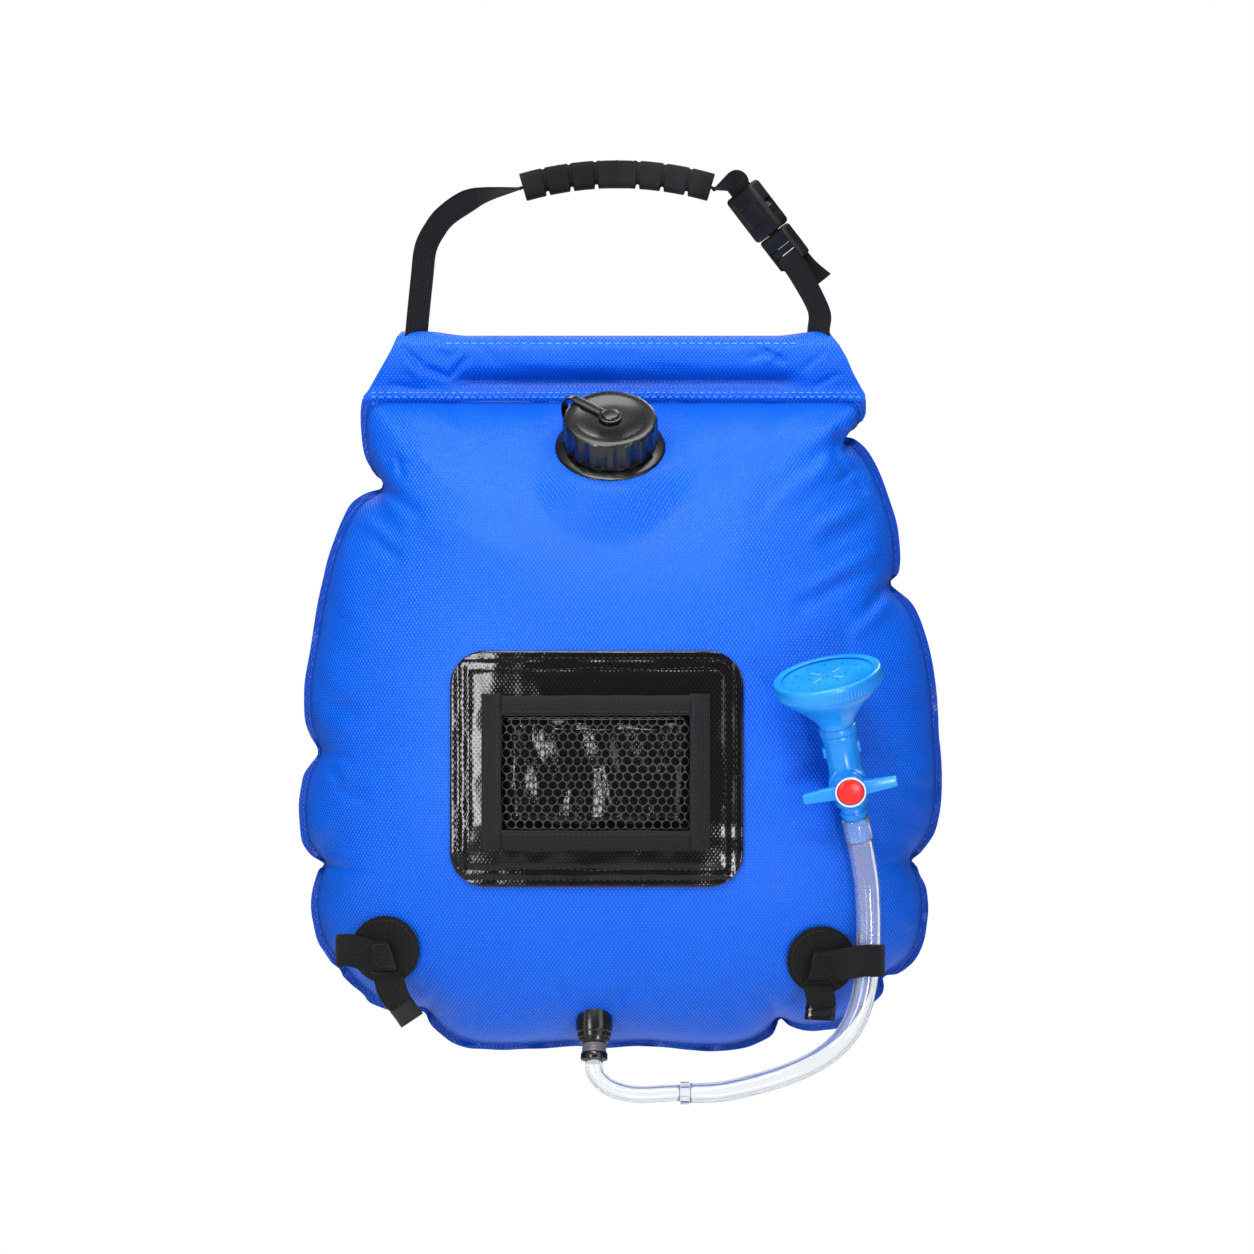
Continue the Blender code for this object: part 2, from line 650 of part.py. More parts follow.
def tether(frame, top, foot):
    """Ring on the cap's stud, strap over the cap's side and ring round the neck, in one moulding."""
    low = top + CLEARANCE
    ring = turned(tube_profile(TETHER_RING, STUD_RADIUS + CLEARANCE, low, low + TETHER_THICK), SMALL_STEPS)
    made = add("cap_tether", ring, "black_moulding", frame, smooth=True)
    collar_high = foot - CLEARANCE
    collar_low = FLANGE_THICK + CLEARANCE
    collar_inner = NECK_RADIUS + CLEARANCE
    collar = turned(tube_profile(collar_inner + TETHER_COLLAR_WIDTH, collar_inner, collar_low, collar_high))
    combine(made, add("tether_collar", collar, frame=frame), "UNION")
    start = STUD_RADIUS + (TETHER_RING - STUD_RADIUS) / 2
    middle = low + TETHER_THICK / 2
    side = CAP_RADIUS + TETHER_THICK
    drop = (collar_high + collar_low) / 2
    heights = [
        (start, middle), (CAP_RADIUS * 0.8, middle), (CAP_RADIUS, middle - TETHER_THICK / 4),
        (side + TETHER_THICK, middle - TETHER_THICK * 2), (side + 2 * TETHER_THICK, middle - CAP_HEIGHT / 2),
        (side + TETHER_THICK, drop + TETHER_THICK), (CAP_RADIUS - TETHER_THICK / 2, drop),
        (collar_inner + TETHER_COLLAR_WIDTH / 2, drop),
    ]
    path = smooth_points([Vector((-r, 0, z)) for r, z in heights], 2)
    strap = ribbon(path, [AXIS_Y] * len(path), TETHER_WIDTH, min(TETHER_THICK, collar_high - collar_low) - CLEARANCE)
    turn = Matrix.Rotation(TETHER_TURN, 4, "Z")
    combine(made, add("tether_strap", strap, frame=frame @ turn), "UNION")


def outlet(tree):
    """Spout through the film, its nipple and the clamp on the hose's end."""
    frame = outlet_frame(tree)
    bore = SPOUT_BORE
    nipple_wide = bore - CLEARANCE
    plug_low = SPOUT_LENGTH - NIPPLE_PLUG
    spout = [
        (SPOUT_RADIUS, -SPOUT_INSIDE), (NIPPLE_BORE, -SPOUT_INSIDE), (NIPPLE_BORE, plug_low - CLEARANCE),
        (bore, plug_low - CLEARANCE), (bore, SPOUT_LENGTH), (SPOUT_TIP_RADIUS, SPOUT_LENGTH),
        (SPOUT_RADIUS, SPOUT_LENGTH * 0.4),
    ]
    add("outlet_spout", turned(spout, SMALL_STEPS), "black_moulding", frame, smooth=True)
    foot = SPOUT_LENGTH + CLEARANCE
    end = foot + NIPPLE_LENGTH
    seat = end - CLAMP_WIDTH
    clamp_inner = NIPPLE_RADIUS - CLAMP_WALL
    nipple = [
        (nipple_wide, plug_low), (NIPPLE_BORE, plug_low), (NIPPLE_BORE, end), (clamp_inner - CLEARANCE, end),
        (clamp_inner - CLEARANCE, seat - CLEARANCE), (NIPPLE_RADIUS, seat - CLEARANCE), (NIPPLE_RADIUS, foot),
        (nipple_wide, foot),
    ]
    add("outlet_nipple", turned(nipple, SMALL_STEPS), "grey_moulding", frame, smooth=True)
    clamp = tube_profile(NIPPLE_RADIUS + CLAMP_WALL / 2, clamp_inner, seat, end)
    add("hose_clamp", turned(clamp, SMALL_STEPS), "black_moulding", frame, smooth=True)


def hoses():
    hose("hose_upper", HOSE_UPPER_ROUTE, HOSE_UPPER_DIAMETER)
    hose("hose_lower", HOSE_LOWER_ROUTE, HOSE_LOWER_DIAMETER)
    upper_end, lower_end = Vector(HOSE_UPPER_ROUTE[-1]), Vector(HOSE_LOWER_ROUTE[-1])
    along = (upper_end - lower_end).normalized()
    side = along.cross(AXIS_Y).normalized()
    frame = frame_at((upper_end + lower_end) / 2, side, along.cross(side), along)
    half = (upper_end - lower_end).length / 2 - CLEARANCE
    coupler = turned(tube_profile(COUPLER_RADIUS, COUPLER_BORE, -half, half), SMALL_STEPS)
    add("hose_coupler", coupler, "clear_hose", frame, smooth=True)


def head_axes():
    """Axis up the shower head, axis out of its valve boss, and the lever's own direction."""
    aside, forward = HEAD_LEAN_SHARES
    up = Vector((aside, forward, sqrt(1 - aside**2 - forward**2)))
    out = (-AXIS_Y - up * (-AXIS_Y).dot(up)).normalized()
    return up, out, up.cross(out)


def head_frame():
    up, out, across = head_axes()
    return frame_at(Vector(HOSE_UPPER_ROUTE[0]) + up * CLEARANCE, across, up.cross(across), up)


def valve_height():
    return STEM_TOP + VALVE_LENGTH * VALVE_AXIS_SHARE


def valve_frame():
    """Frame on the valve's turning axis: Z out of the boss, X along the lever at rest."""
    up, out, across = head_axes()
    origin = head_frame() @ Vector((0, 0, valve_height()))
    return frame_at(origin, across, out.cross(across), out)


def valve():
    frame, cross = head_frame(), valve_frame()
    top = STEM_TOP + VALVE_LENGTH
    profile = [(FLOW_BORE, 0)]
    pitch = BARB_LENGTH / BARB_RIDGES
    for k in range(BARB_RIDGES):
        profile.append((BARB_RADIUS, k * pitch))
        profile.append((BARB_RADIUS + BARB_RIDGE, (k + 1) * pitch - BARB_RIDGE / 2))
    profile += [
        (BARB_RADIUS, BARB_LENGTH), (STEM_RADIUS, BARB_LENGTH), (STEM_RADIUS, STEM_TOP - BARB_RIDGE),
        (VALVE_RADIUS, STEM_TOP), (VALVE_RADIUS, top), (FLOW_BORE, top),
    ]
    body = add("valve_body", turned(profile, BOSS_STEPS), "light_blue_moulding", frame, smooth=True)
    boss = round_bar(BOSS_RADIUS, 0, BOSS_REACH, BOSS_STEPS)
    combine(body, add("valve_boss", boss, frame=cross), "UNION")
    wide = PLUG_RADIUS + CLEARANCE
    well = round_bar(wide, -PLUG_DEPTH, BOSS_REACH + OVERRUN, BOSS_STEPS)
    combine(body, add("plug_well", well, frame=cross), "DIFFERENCE")
    lever(cross)


def lever(cross):
    """Tee lever with its plug and flow port, the seal on the plug and the red badge."""
    low = BOSS_REACH + CLEARANCE
    top = low + LEVER_HUB_HEIGHT
    groove = BOSS_REACH * 0.6
    inner = PLUG_RADIUS - SEAL_DEPTH
    profile = [
        (0, top - BADGE_THICK), (BADGE_RADIUS + CLEARANCE, top - BADGE_THICK), (BADGE_RADIUS + CLEARANCE, top),
        (LEVER_HUB_RADIUS, top), (LEVER_HUB_RADIUS, low), (PLUG_RADIUS, low), (PLUG_RADIUS, groove + SEAL_WIDTH),
        (inner, groove + SEAL_WIDTH), (inner, groove), (PLUG_RADIUS, groove),
        (PLUG_RADIUS, CLEARANCE - PLUG_DEPTH), (0, CLEARANCE - PLUG_DEPTH),
    ]
    made = add("valve_lever", turned(profile, BOSS_STEPS), "light_blue_moulding", cross, smooth=True)
    wings = bmesh.new()
    rings = []
    middle = low + LEVER_THICK / 2
    tip, root = LEVER_SPAN / 2, LEVER_HUB_RADIUS
    up = LEVER_THICK / 2
    for x, wide in ((-tip, LEVER_TIP), (-root, LEVER_ROOT), (root, LEVER_ROOT), (tip, LEVER_TIP)):
        half = wide / 2
        corners = ((x, -half, middle - up), (x, half, middle - up), (x, half, middle + up), (x, -half, middle + up))
        rings.append([wings.verts.new(corner) for corner in corners])
    for first, second in zip(rings, rings[1:]):
        bridge(wings, first, second)
    wings.faces.new(rings[0])
    wings.faces.new(rings[-1])
    sides = [e for e in wings.edges if abs(e.verts[0].co.z - e.verts[1].co.z) > LEVER_THICK / 2]
    bmesh.ops.bevel(wings, geom=sides, offset=LEVER_TIP / 4, segments=1, affect="EDGES")
    port = round_bar(FLOW_BORE, -VALVE_RADIUS, VALVE_RADIUS)
    wing = add("lever_wings", wings, frame=cross)
    hub_cut = round_bar(BADGE_RADIUS + CLEARANCE, top - BADGE_THICK, top + OVERRUN, BOSS_STEPS)
    combine(made, wing, "UNION")
    combine(made, add("badge_seat", hub_cut, frame=cross), "DIFFERENCE")
    along = cross @ Matrix.Rotation(pi / 2, 4, "Y")
    combine(made, add("plug_port", port, frame=along), "DIFFERENCE")
    badge = round_bar(BADGE_RADIUS, top - BADGE_THICK + CLEARANCE, top, BOSS_STEPS)
    add("lever_badge", badge, "red_moulding", cross, smooth=True)
    seal = tube_profile(PLUG_RADIUS, inner + CLEARANCE, groove + CLEARANCE, groove + SEAL_WIDTH - CLEARANCE)
    add("plug_seal", turned(seal, SMALL_STEPS), "soft_rubber", cross, smooth=True)


def rose():
    """Funnel on the valve, then gasket, spray plate and the knurled ring that holds them."""
    frame = head_frame()
    low = STEM_TOP + VALVE_LENGTH + CLEARANCE
    cone = low + COLLAR_HEIGHT
    mouth = cone + FUNNEL_HEIGHT
    spigot = FLOW_BORE - CLEARANCE
    rim = mouth + ROSE_BAND * 0.45
    funnel = [
        (COLLAR_RADIUS, low), (spigot - FUNNEL_WALL / 2, low), (spigot - FUNNEL_WALL / 2, cone),
        (FUNNEL_MOUTH - FUNNEL_WALL, mouth), (FUNNEL_MOUTH - FUNNEL_WALL, rim), (FUNNEL_MOUTH, rim),
        (FUNNEL_MOUTH, mouth), (VALVE_RADIUS, cone), (COLLAR_RADIUS, cone),
    ]
    add("head_funnel", turned(funnel), "light_blue_moulding", frame, smooth=True)
    gasket_low = rim + CLEARANCE
    gasket_top = gasket_low + GASKET_THICK / 2
    gasket = tube_profile(FUNNEL_MOUTH, FUNNEL_MOUTH - FUNNEL_WALL, gasket_low, gasket_top)
    add("rose_gasket", turned(gasket), "grey_rubber", frame, smooth=True)
    plate_low = gasket_top + CLEARANCE
    plate_top = plate_low + PLATE_THICK
    disc = round_bar(FUNNEL_MOUTH, plate_low, plate_top, ROUND_STEPS)
    plate = add("spray_plate", disc, "light_blue_moulding", frame)
    combine(plate, add("spray_holes", spray_holes(plate_low, plate_top), frame=frame), "DIFFERENCE")
    inner = FUNNEL_MOUTH + CLEARANCE
    lip_low = plate_top + CLEARANCE
    lip = FUNNEL_MOUTH - ROSE_LIP
    lip_top = lip_low + ROSE_WALL / 2
    ring = [
        (ROSE_RADIUS, lip_top), (ROSE_RADIUS, lip_top - ROSE_BAND), (inner, lip_top - ROSE_BAND), (inner, lip_low),
        (lip, lip_low), (lip, lip_top),
    ]
    bm = turned(ring, ROSE_KNURLS)
    for v in bm.verts:
        if v.co.xy.length > inner + CLEARANCE:
            step = round(v.co.xy.angle_signed(Vector((1, 0))) * ROSE_KNURLS / (2 * pi))
            v.co.xy *= 1 - KNURL_DEPTH_SHARE * (step % 2)
    add("rose_ring", bm, "light_blue_moulding", frame)


def spray_holes(low, high):
    bm = bmesh.new()
    places = [(0, 0)]
    for share, count in zip(HOLE_CIRCLE_SHARES, HOLE_COUNTS):
        for k in range(count):
            angle = 2 * pi * k / count
            radius = share * FUNNEL_MOUTH
            places.append((radius * cos(angle), radius * sin(angle)))
    for x, y in places:
        move = Matrix.Translation((x, y, (low + high) / 2))
        depth = high - low + OVERRUN
        shape = {"segments": 6, "radius1": HOLE_RADIUS, "radius2": HOLE_RADIUS, "depth": depth}
        bmesh.ops.create_cone(bm, cap_ends=True, matrix=move, **shape)
    return bm


def handle_side(path, twist):
    """Width directions of webbing whose near edge leans away from the handle's inside."""
    sides = []
    for k, lean in enumerate(twist):
        ahead = (path[min(k + 1, len(path) - 1)] - path[max(k - 1, 0)]).normalized()
        outward = Vector((-ahead.z, 0, ahead.x))
        sides.append(-AXIS_Y * cos(lean) + outward * sin(lean))
    return sides


def grip_point(along, lift=0):
    """A point of the grip's arched middle line, raised along the arc's radius."""
    angle = along / GRIP_ARC_RADIUS
    radius = GRIP_ARC_RADIUS + lift
    return Vector((GRIP_SHIFT + radius * sin(angle), 0, GRIP_HEIGHT / 2 - GRIP_ARC_RADIUS + radius * cos(angle)))


def buckle_axes():
    along = Vector((cos(BUCKLE_DROP), 0, -sin(BUCKLE_DROP)))
    outward = Vector((sin(BUCKLE_DROP), 0, cos(BUCKLE_DROP)))
    across = -AXIS_Y * cos(HANDLE_TWIST) + outward * sin(HANDLE_TWIST)
    return along, across, along.cross(across)


def buckle_frame():
    """X across the buckle, Y through its thickness, Z down its length."""
    along, across, through = buckle_axes()
    return frame_at(Vector((BUCKLE_X, 0, BUCKLE_Z)), across, through, along)


def handle_webbing():
    """One strap from the sleeve's left slot through the grip to the buckle."""
    sleeve_top = roll_height() + ROLL_RADIUS
    foot = sleeve_top - HANDLE_DEPTH_IN_SLEEVE
    points = [Vector((-HANDLE_LEFT, 0, z)) for z in (foot, (foot + sleeve_top) / 2, sleeve_top)]
    twist = [HANDLE_TWIST] * 3
    for x, rise in HANDLE_PATH_SHARES:
        points.append(Vector((-HANDLE_LEFT * x * (1 - 0.02 * rise), 0, sleeve_top * (1 - rise))))
        twist.append(HANDLE_TWIST)
    points[3].x = -HANDLE_LEFT * 0.975
    twist[-1] = HANDLE_TWIST * 0.6
    half = GRIP_LENGTH / 2
    for share in (-1.04, -1, -0.5, 0, 0.5, 1, 1.04):
        points.append(grip_point(half * share))
        twist.append(0)
    along = buckle_axes()[0]
    start = Vector((BUCKLE_X, 0, BUCKLE_Z))
    for share in (-1.1, -0.6, -0.1, 0.4, 1):
        points.append(start + along * (share * (WEBBING_SLOT_DEPTH - CLEARANCE)))
        twist.append(HANDLE_TWIST)
    fine = smooth_points(points, 3)
    lean = [v.x for v in smooth_points([Vector((t, 0, 0)) for t in twist], 3)]
    add("handle_webbing", ribbon(fine, handle_side(fine, lean), WEBBING, WEBBING_THICK), "black_webbing")


def grip():
    """Arched moulded grip with blocks above and below and a channel for the webbing."""
    half, centre = GRIP_LENGTH / 2, GRIP_CENTRE_BLOCK / 2
    length = (half - centre - GRIP_BLOCKS_A_SIDE * GRIP_GROOVE) / GRIP_BLOCKS_A_SIDE
    marks = [(0, 0), (centre, 0)]
    at = centre
    for _ in range(GRIP_BLOCKS_A_SIDE):
        beyond = at + GRIP_GROOVE
        marks += [(at + CLEARANCE, 1), (beyond - CLEARANCE, 1), (beyond, 0), (beyond + length, 0)]
        at += GRIP_GROOVE + length
    stations = [(-u, g) for u, g in marks[:0:-1]] + marks
    bm = bmesh.new()
    outer_rings, inner_rings = [], []
    for u, grooved in stations:
        top = GRIP_HEIGHT / 2 - GRIP_TOP_GROOVE_DEPTH * grooved
        foot = -GRIP_HEIGHT / 2 + GRIP_GROOVE_DEPTH * grooved
        deep, c = GRIP_DEPTH / 2, GRIP_CORNER
        outer = [
            (-deep, foot + c), (-deep + c, foot), (deep - c, foot), (deep, foot + c),
            (deep, top - c), (deep - c, top), (-deep + c, top), (-deep, top - c),
        ]
        wide, thick = WEBBING / 2 + GRIP_CHANNEL_GAP, WEBBING_THICK / 2 + GRIP_CHANNEL_GAP
        inside = wide - c / 2
        inner = [
            (-wide, -thick), (-inside, -thick), (inside, -thick), (wide, -thick),
            (wide, thick), (inside, thick), (-inside, thick), (-wide, thick),
        ]
        ring = []
        for y, lift in outer:
            point = grip_point(u, lift)
            if lift == foot and abs(u) <= centre:
                point.z = 0
            ring.append(bm.verts.new((point.x, y, point.z)))
        outer_rings.append(ring)
        inner_rings.append([bm.verts.new(grip_point(u, lift) + AXIS_Y * y) for y, lift in inner])
    for rings in (outer_rings, inner_rings):
        for first, second in zip(rings, rings[1:]):
            bridge(bm, first, second)
    for end in (0, -1):
        bridge(bm, outer_rings[end], inner_rings[end])
    add("grip", bm, "soft_rubber")


def buckle():
    """Side release buckle: socket, plug body and its two sprung tabs."""
    frame = buckle_frame()
    case = block(FEMALE_WIDTH, FEMALE_THICK, FEMALE_LENGTH, (0, 0, FEMALE_LENGTH / 2))
    shell = add("buckle_female", case, "black_moulding", frame)
    rounded(shell, FEMALE_THICK * 0.28, 2)
    depth = SOCKET_DEPTH + OVERRUN
    socket_top = FEMALE_LENGTH - SOCKET_DEPTH
    cavity = block(SOCKET_WIDTH, SOCKET_THICK, depth, (0, 0, socket_top + depth / 2))
    combine(shell, add("buckle_socket", cavity, frame=frame), "DIFFERENCE")
    window_z = WINDOW_INSET + WINDOW_LENGTH / 2
    windows = block(FEMALE_WIDTH + OVERRUN, SOCKET_THICK, WINDOW_LENGTH, (0, 0, window_z))
    combine(shell, add("buckle_windows", windows, frame=frame), "DIFFERENCE")
    slot_depth = WEBBING_SLOT_DEPTH + OVERRUN
    slot_middle = (0, 0, WEBBING_SLOT_DEPTH - slot_depth / 2)
    slot = block(WEBBING + 2 * CLEARANCE, WEBBING_THICK + 2 * CLEARANCE, slot_depth, slot_middle)
    combine(shell, add("buckle_webbing_slot", slot, frame=frame), "DIFFERENCE")
    male_low = FEMALE_LENGTH + CLEARANCE
    plug = block(MALE_WIDTH, MALE_THICK, MALE_LENGTH, (0, 0, male_low + MALE_LENGTH / 2))
    male = add("buckle_male", plug, "black_moulding", frame)
    rounded(male, MALE_THICK * 0.25, 2)
    tongue_thick = SOCKET_THICK - 2 * CLEARANCE
    tongue_end = male_low - TONGUE_LENGTH
    tongue_long = TONGUE_LENGTH + OVERRUN
    tongue = block(TONGUE_WIDTH, tongue_thick, tongue_long, (0, 0, tongue_end + tongue_long / 2))
    combine(male, add("buckle_tongue", tongue, frame=frame), "UNION")
    gap_low = male_low + MALE_BLOCK
    gap_high = male_low + MALE_LENGTH + OVERRUN
    gap_middle = (0, 0, (gap_low + gap_high) / 2)
    gap = block(MALE_WIDTH - 2 * RAIL_WIDTH, MALE_THICK + OVERRUN, gap_high - gap_low, gap_middle)
    combine(male, add("buckle_gap", gap, frame=frame), "DIFFERENCE")
    bar_half = (MALE_WIDTH - RAIL_WIDTH) / 2
    bar = round_bar(BAR_RADIUS, -bar_half, bar_half)
    bar_frame = frame @ Matrix.Translation((0, 0, bar_depth())) @ Matrix.Rotation(pi / 2, 4, "Y")
    combine(male, add("buckle_bar", bar, frame=bar_frame), "UNION")
    for name, side in (("buckle_tab_left", -1), ("buckle_tab_right", 1)):
        tab(name, side, frame, male_low)


def bar_depth():
    return FEMALE_LENGTH + CLEARANCE + MALE_LENGTH - 2 * BAR_RADIUS


def tab(name, side, frame, male_low):
    """Sprung side arm whose shoulder stands in the socket's window; its origin is at its root."""
    root = Vector((side * (SOCKET_WIDTH / 2 - CLEARANCE - TAB_WIDTH / 2), 0, male_low - CLEARANCE))
    wide = TAB_WIDTH / 2
    barb_low = WINDOW_INSET + CLEARANCE - root.z
    barb_high = WINDOW_INSET + WINDOW_LENGTH - CLEARANCE - root.z
    outer = [
        (wide, 0), (wide, barb_high), (wide + TAB_BARB, barb_high), (wide + TAB_BARB, (barb_low + barb_high) / 2),
        (wide, barb_low), (wide / 2, -TAB_LENGTH), (-wide, -TAB_LENGTH), (-wide, 0),
    ]
    thick = SOCKET_THICK / 2 - CLEARANCE
    bm = bmesh.new()
    rings = []
    for y in (-thick, thick):
        rings.append([bm.verts.new((side * x, y, z)) for x, z in outer])
    bridge(bm, rings[0], rings[1])
    for ring in rings:
        bm.faces.new(ring)
    add(name, bm, "black_moulding", frame @ Matrix.Translation(root))


def lower_webbing():
    """Strap from the sleeve's right slot over the buckle's bar and back as a loose tail."""
    along, across, through = buckle_axes()
    bar = buckle_frame() @ Vector((0, 0, bar_depth()))
    radius = BAR_RADIUS + 2 * CLEARANCE + WEBBING_THICK / 2
    sleeve_top = roll_height() + ROLL_RADIUS
    low = Vector((HANDLE_RIGHT, 0, sleeve_top))
    points = [low - AXIS_Z * HANDLE_DEPTH_IN_SLEEVE, low, low + AXIS_Z * HANDLE_DEPTH_IN_SLEEVE]
    sides = [-AXIS_Y * cos(HANDLE_TWIST) + AXIS_X * sin(HANDLE_TWIST)] * 3
    points.append(bar + along * (3 * radius) + through * radius)
    for angle in (90, 45, 0, -45, -90):
        points.append(bar - along * (radius * cos(radians(angle))) + through * (radius * sin(radians(angle))))
    points.append(bar + along * (TAIL_LENGTH / 2) - through * (radius * 1.3))
    points.append(bar + along * TAIL_LENGTH - through * (radius * 2.4))
    sides += [across] * 8
    fine = smooth_points(points, 2)
    width = smooth_points(sides, 2)
    add("lower_webbing", ribbon(fine, width, WEBBING, WEBBING_THICK), "black_webbing")


def round_corner(x, z, half_x, half_z, radius):
    """Moves a point of a rectangle's grid so that the rectangle gets round corners."""
    dx, dz = abs(x) - (half_x - radius), abs(z) - (half_z - radius)
    if dx <= 0 or dz <= 0:
        return x, z
    u, v = dx / radius, dz / radius
    dx, dz = dx * sqrt(1 - v * v / 2), dz * sqrt(1 - u * u / 2)
    return (half_x - radius + dx) * (1 if x > 0 else -1), (half_z - radius + dz) * (1 if z > 0 else -1)


def laid_rectangle(tree, centre_x, centre_z, size, lift, thick, cells):
    """A sheet laid on the front panel; size is its width, height and corner radius."""
    width, height, corner = size
    across, down = cells
    rows = []
    for j in range(down + 1):
        row = []
        for i in range(across + 1):
            x, z = (i / across - 0.5) * width, (0.5 - j / down) * height
            row.append(round_corner(x, z, width / 2, height / 2, corner))
        rows.append(row)
    grids = []
    for rise in (lift, lift + thick):
        grids.append([[laid_point(tree, centre_x + x, centre_z + z, rise) for x, z in row] for row in rows])
    return slab(*grids)


def pocket(tree):
    """Stitched patch, glossy lining, four binding tapes and the net they hold out."""
    patch_x, patch_top = bag_place(PATCH_PLACE_SHARES)
    lift = SEAT_LIFT
    size = (PATCH_WIDTH, PATCH_HEIGHT, PATCH_CORNER)
    patch = laid_rectangle(tree, patch_x, patch_top - PATCH_HEIGHT / 2, size, lift, PATCH_THICK, (12, 10))
    add("pocket_patch", patch, "black_film")
    lining_lift = lift + PATCH_THICK + 3 * CLEARANCE
    frame_x, frame_top = bag_place(FRAME_PLACE_SHARES)
    middle = (frame_x, frame_top - FRAME_HEIGHT / 2)
    wide = FRAME_WIDTH - 2 * TAPE_WIDTH - 2 * LINING_MARGIN
    tall = FRAME_HEIGHT - 2 * TAPE_WIDTH - 2 * LINING_MARGIN
    size = (wide, tall, LINING_MARGIN)
    lining = laid_rectangle(tree, *middle, size, lining_lift, LINING_THICK, (10, 7))
    add("pocket_lining", lining, "black_film")
    tapes(tree, middle, lining_lift)
    net(tree, middle, lining_lift + POCKET_DEPTH + TAPE_THICK / 2)


def tapes(tree, middle, low):
    """Binding tapes: the outer edge sewn to the patch, the inner edge held out; the top one is open."""
    half_x, half_z = FRAME_WIDTH / 2, FRAME_HEIGHT / 2
    in_x, in_z = half_x - TAPE_WIDTH, half_z - TAPE_WIDTH
    in_lift = low + POCKET_DEPTH
    foot, in_foot = CLEARANCE - half_z, CLEARANCE - in_z
    edge, in_edge = half_x - CLEARANCE, in_x - CLEARANCE
    corners = {
        "tape_left": ((-half_x, foot), (-half_x, half_z), (-in_x, in_foot), (-in_x, -in_foot), low),
        "tape_right": ((half_x, foot), (half_x, half_z), (in_x, in_foot), (in_x, -in_foot), low),
        "tape_bottom": ((-edge, -half_z), (edge, -half_z), (-in_edge, -in_z), (in_edge, -in_z), low),
        "tape_top": ((-in_x, half_z), (in_x, half_z), (-in_x, in_z), (in_x, in_z), in_lift),
    }
    for name, (out_a, out_b, in_a, in_b, edge_lift) in corners.items():
        grids = [[], []]
        for j in range(3):
            inward = j / 2
            rows = ([], [])
            for i in range(13):
                share = i / 12
                outer = Vector(out_a).lerp(Vector(out_b), share)
                inner = Vector(in_a).lerp(Vector(in_b), share)
                x, z = outer.lerp(inner, inward)
                lift = edge_lift + (in_lift - edge_lift) * inward
                x, z = x + middle[0], z + middle[1]
                rows[0].append(laid_point(tree, x, z, lift))
                rows[1].append(laid_point(tree, x, z, lift + TAPE_THICK))
            grids[0].append(rows[0])
            grids[1].append(rows[1])
        add(name, slab(*grids), "black_webbing")


def net(tree, middle, lift):
    """Six sided meshes in offset rows, each hole inset from its cell."""
    bm = bmesh.new()
    wide = FRAME_WIDTH - 2 * TAPE_WIDTH - 4 * CLEARANCE
    tall = FRAME_HEIGHT - 2 * TAPE_WIDTH - 4 * CLEARANCE
    step_x = wide / (NET_COLUMNS + 0.5)
    step_z = tall / (NET_ROWS + 1 / 3)
    for row in range(NET_ROWS):
        for column in range(NET_COLUMNS):
            x = (column + 0.5 + 0.5 * (row % 2)) * step_x - wide / 2
            z = tall / 2 - (row + 2 / 3) * step_z
            cell = []
            for k, up in enumerate((2 / 3, 1 / 3, -1 / 3, -2 / 3, -1 / 3, 1 / 3)):
                out = (0, 0.5, 0.5, 0, -0.5, -0.5)[k]
                cell.append(bm.verts.new((x + out * step_x, 0, z + up * step_z)))
            bm.faces.new(cell)
    bmesh.ops.remove_doubles(bm, verts=bm.verts, dist=CLEARANCE)
    holes = bm.faces[:]
    bmesh.ops.inset_individual(bm, faces=holes, thickness=NET_STRAND / 2)
    bmesh.ops.delete(bm, geom=holes, context="FACES_ONLY")
    for v in bm.verts:
        v.co = laid_point(tree, middle[0] + v.co.x, middle[1] + v.co.z, lift - CLEARANCE)
    bmesh.ops.recalc_face_normals(bm, faces=bm.faces)
    bmesh.ops.solidify(bm, geom=bm.faces, thickness=NET_THICK)
    add("pocket_net", bm, "black_net")


def disc_grid(tree, x, z, lift, thick, cells=6):
    grids = []
    for rise in (lift, lift + thick):
        rows = []
        for j in range(cells + 1):
            row = []
            for i in range(cells + 1):
                u, v = 2 * i / cells - 1, 2 * j / cells - 1
                dx = DISC_RADIUS * u * sqrt(1 - v * v / 2)
                dz = -DISC_RADIUS * v * sqrt(1 - u * u / 2)
                spot, normal = surface(tree, x + dx, z + dz)
                row.append(spot - AXIS_Y * (rise / max(abs(normal.y), 0.3)))
            rows.append(row)
        grids.append(rows)
    return slab(*grids)


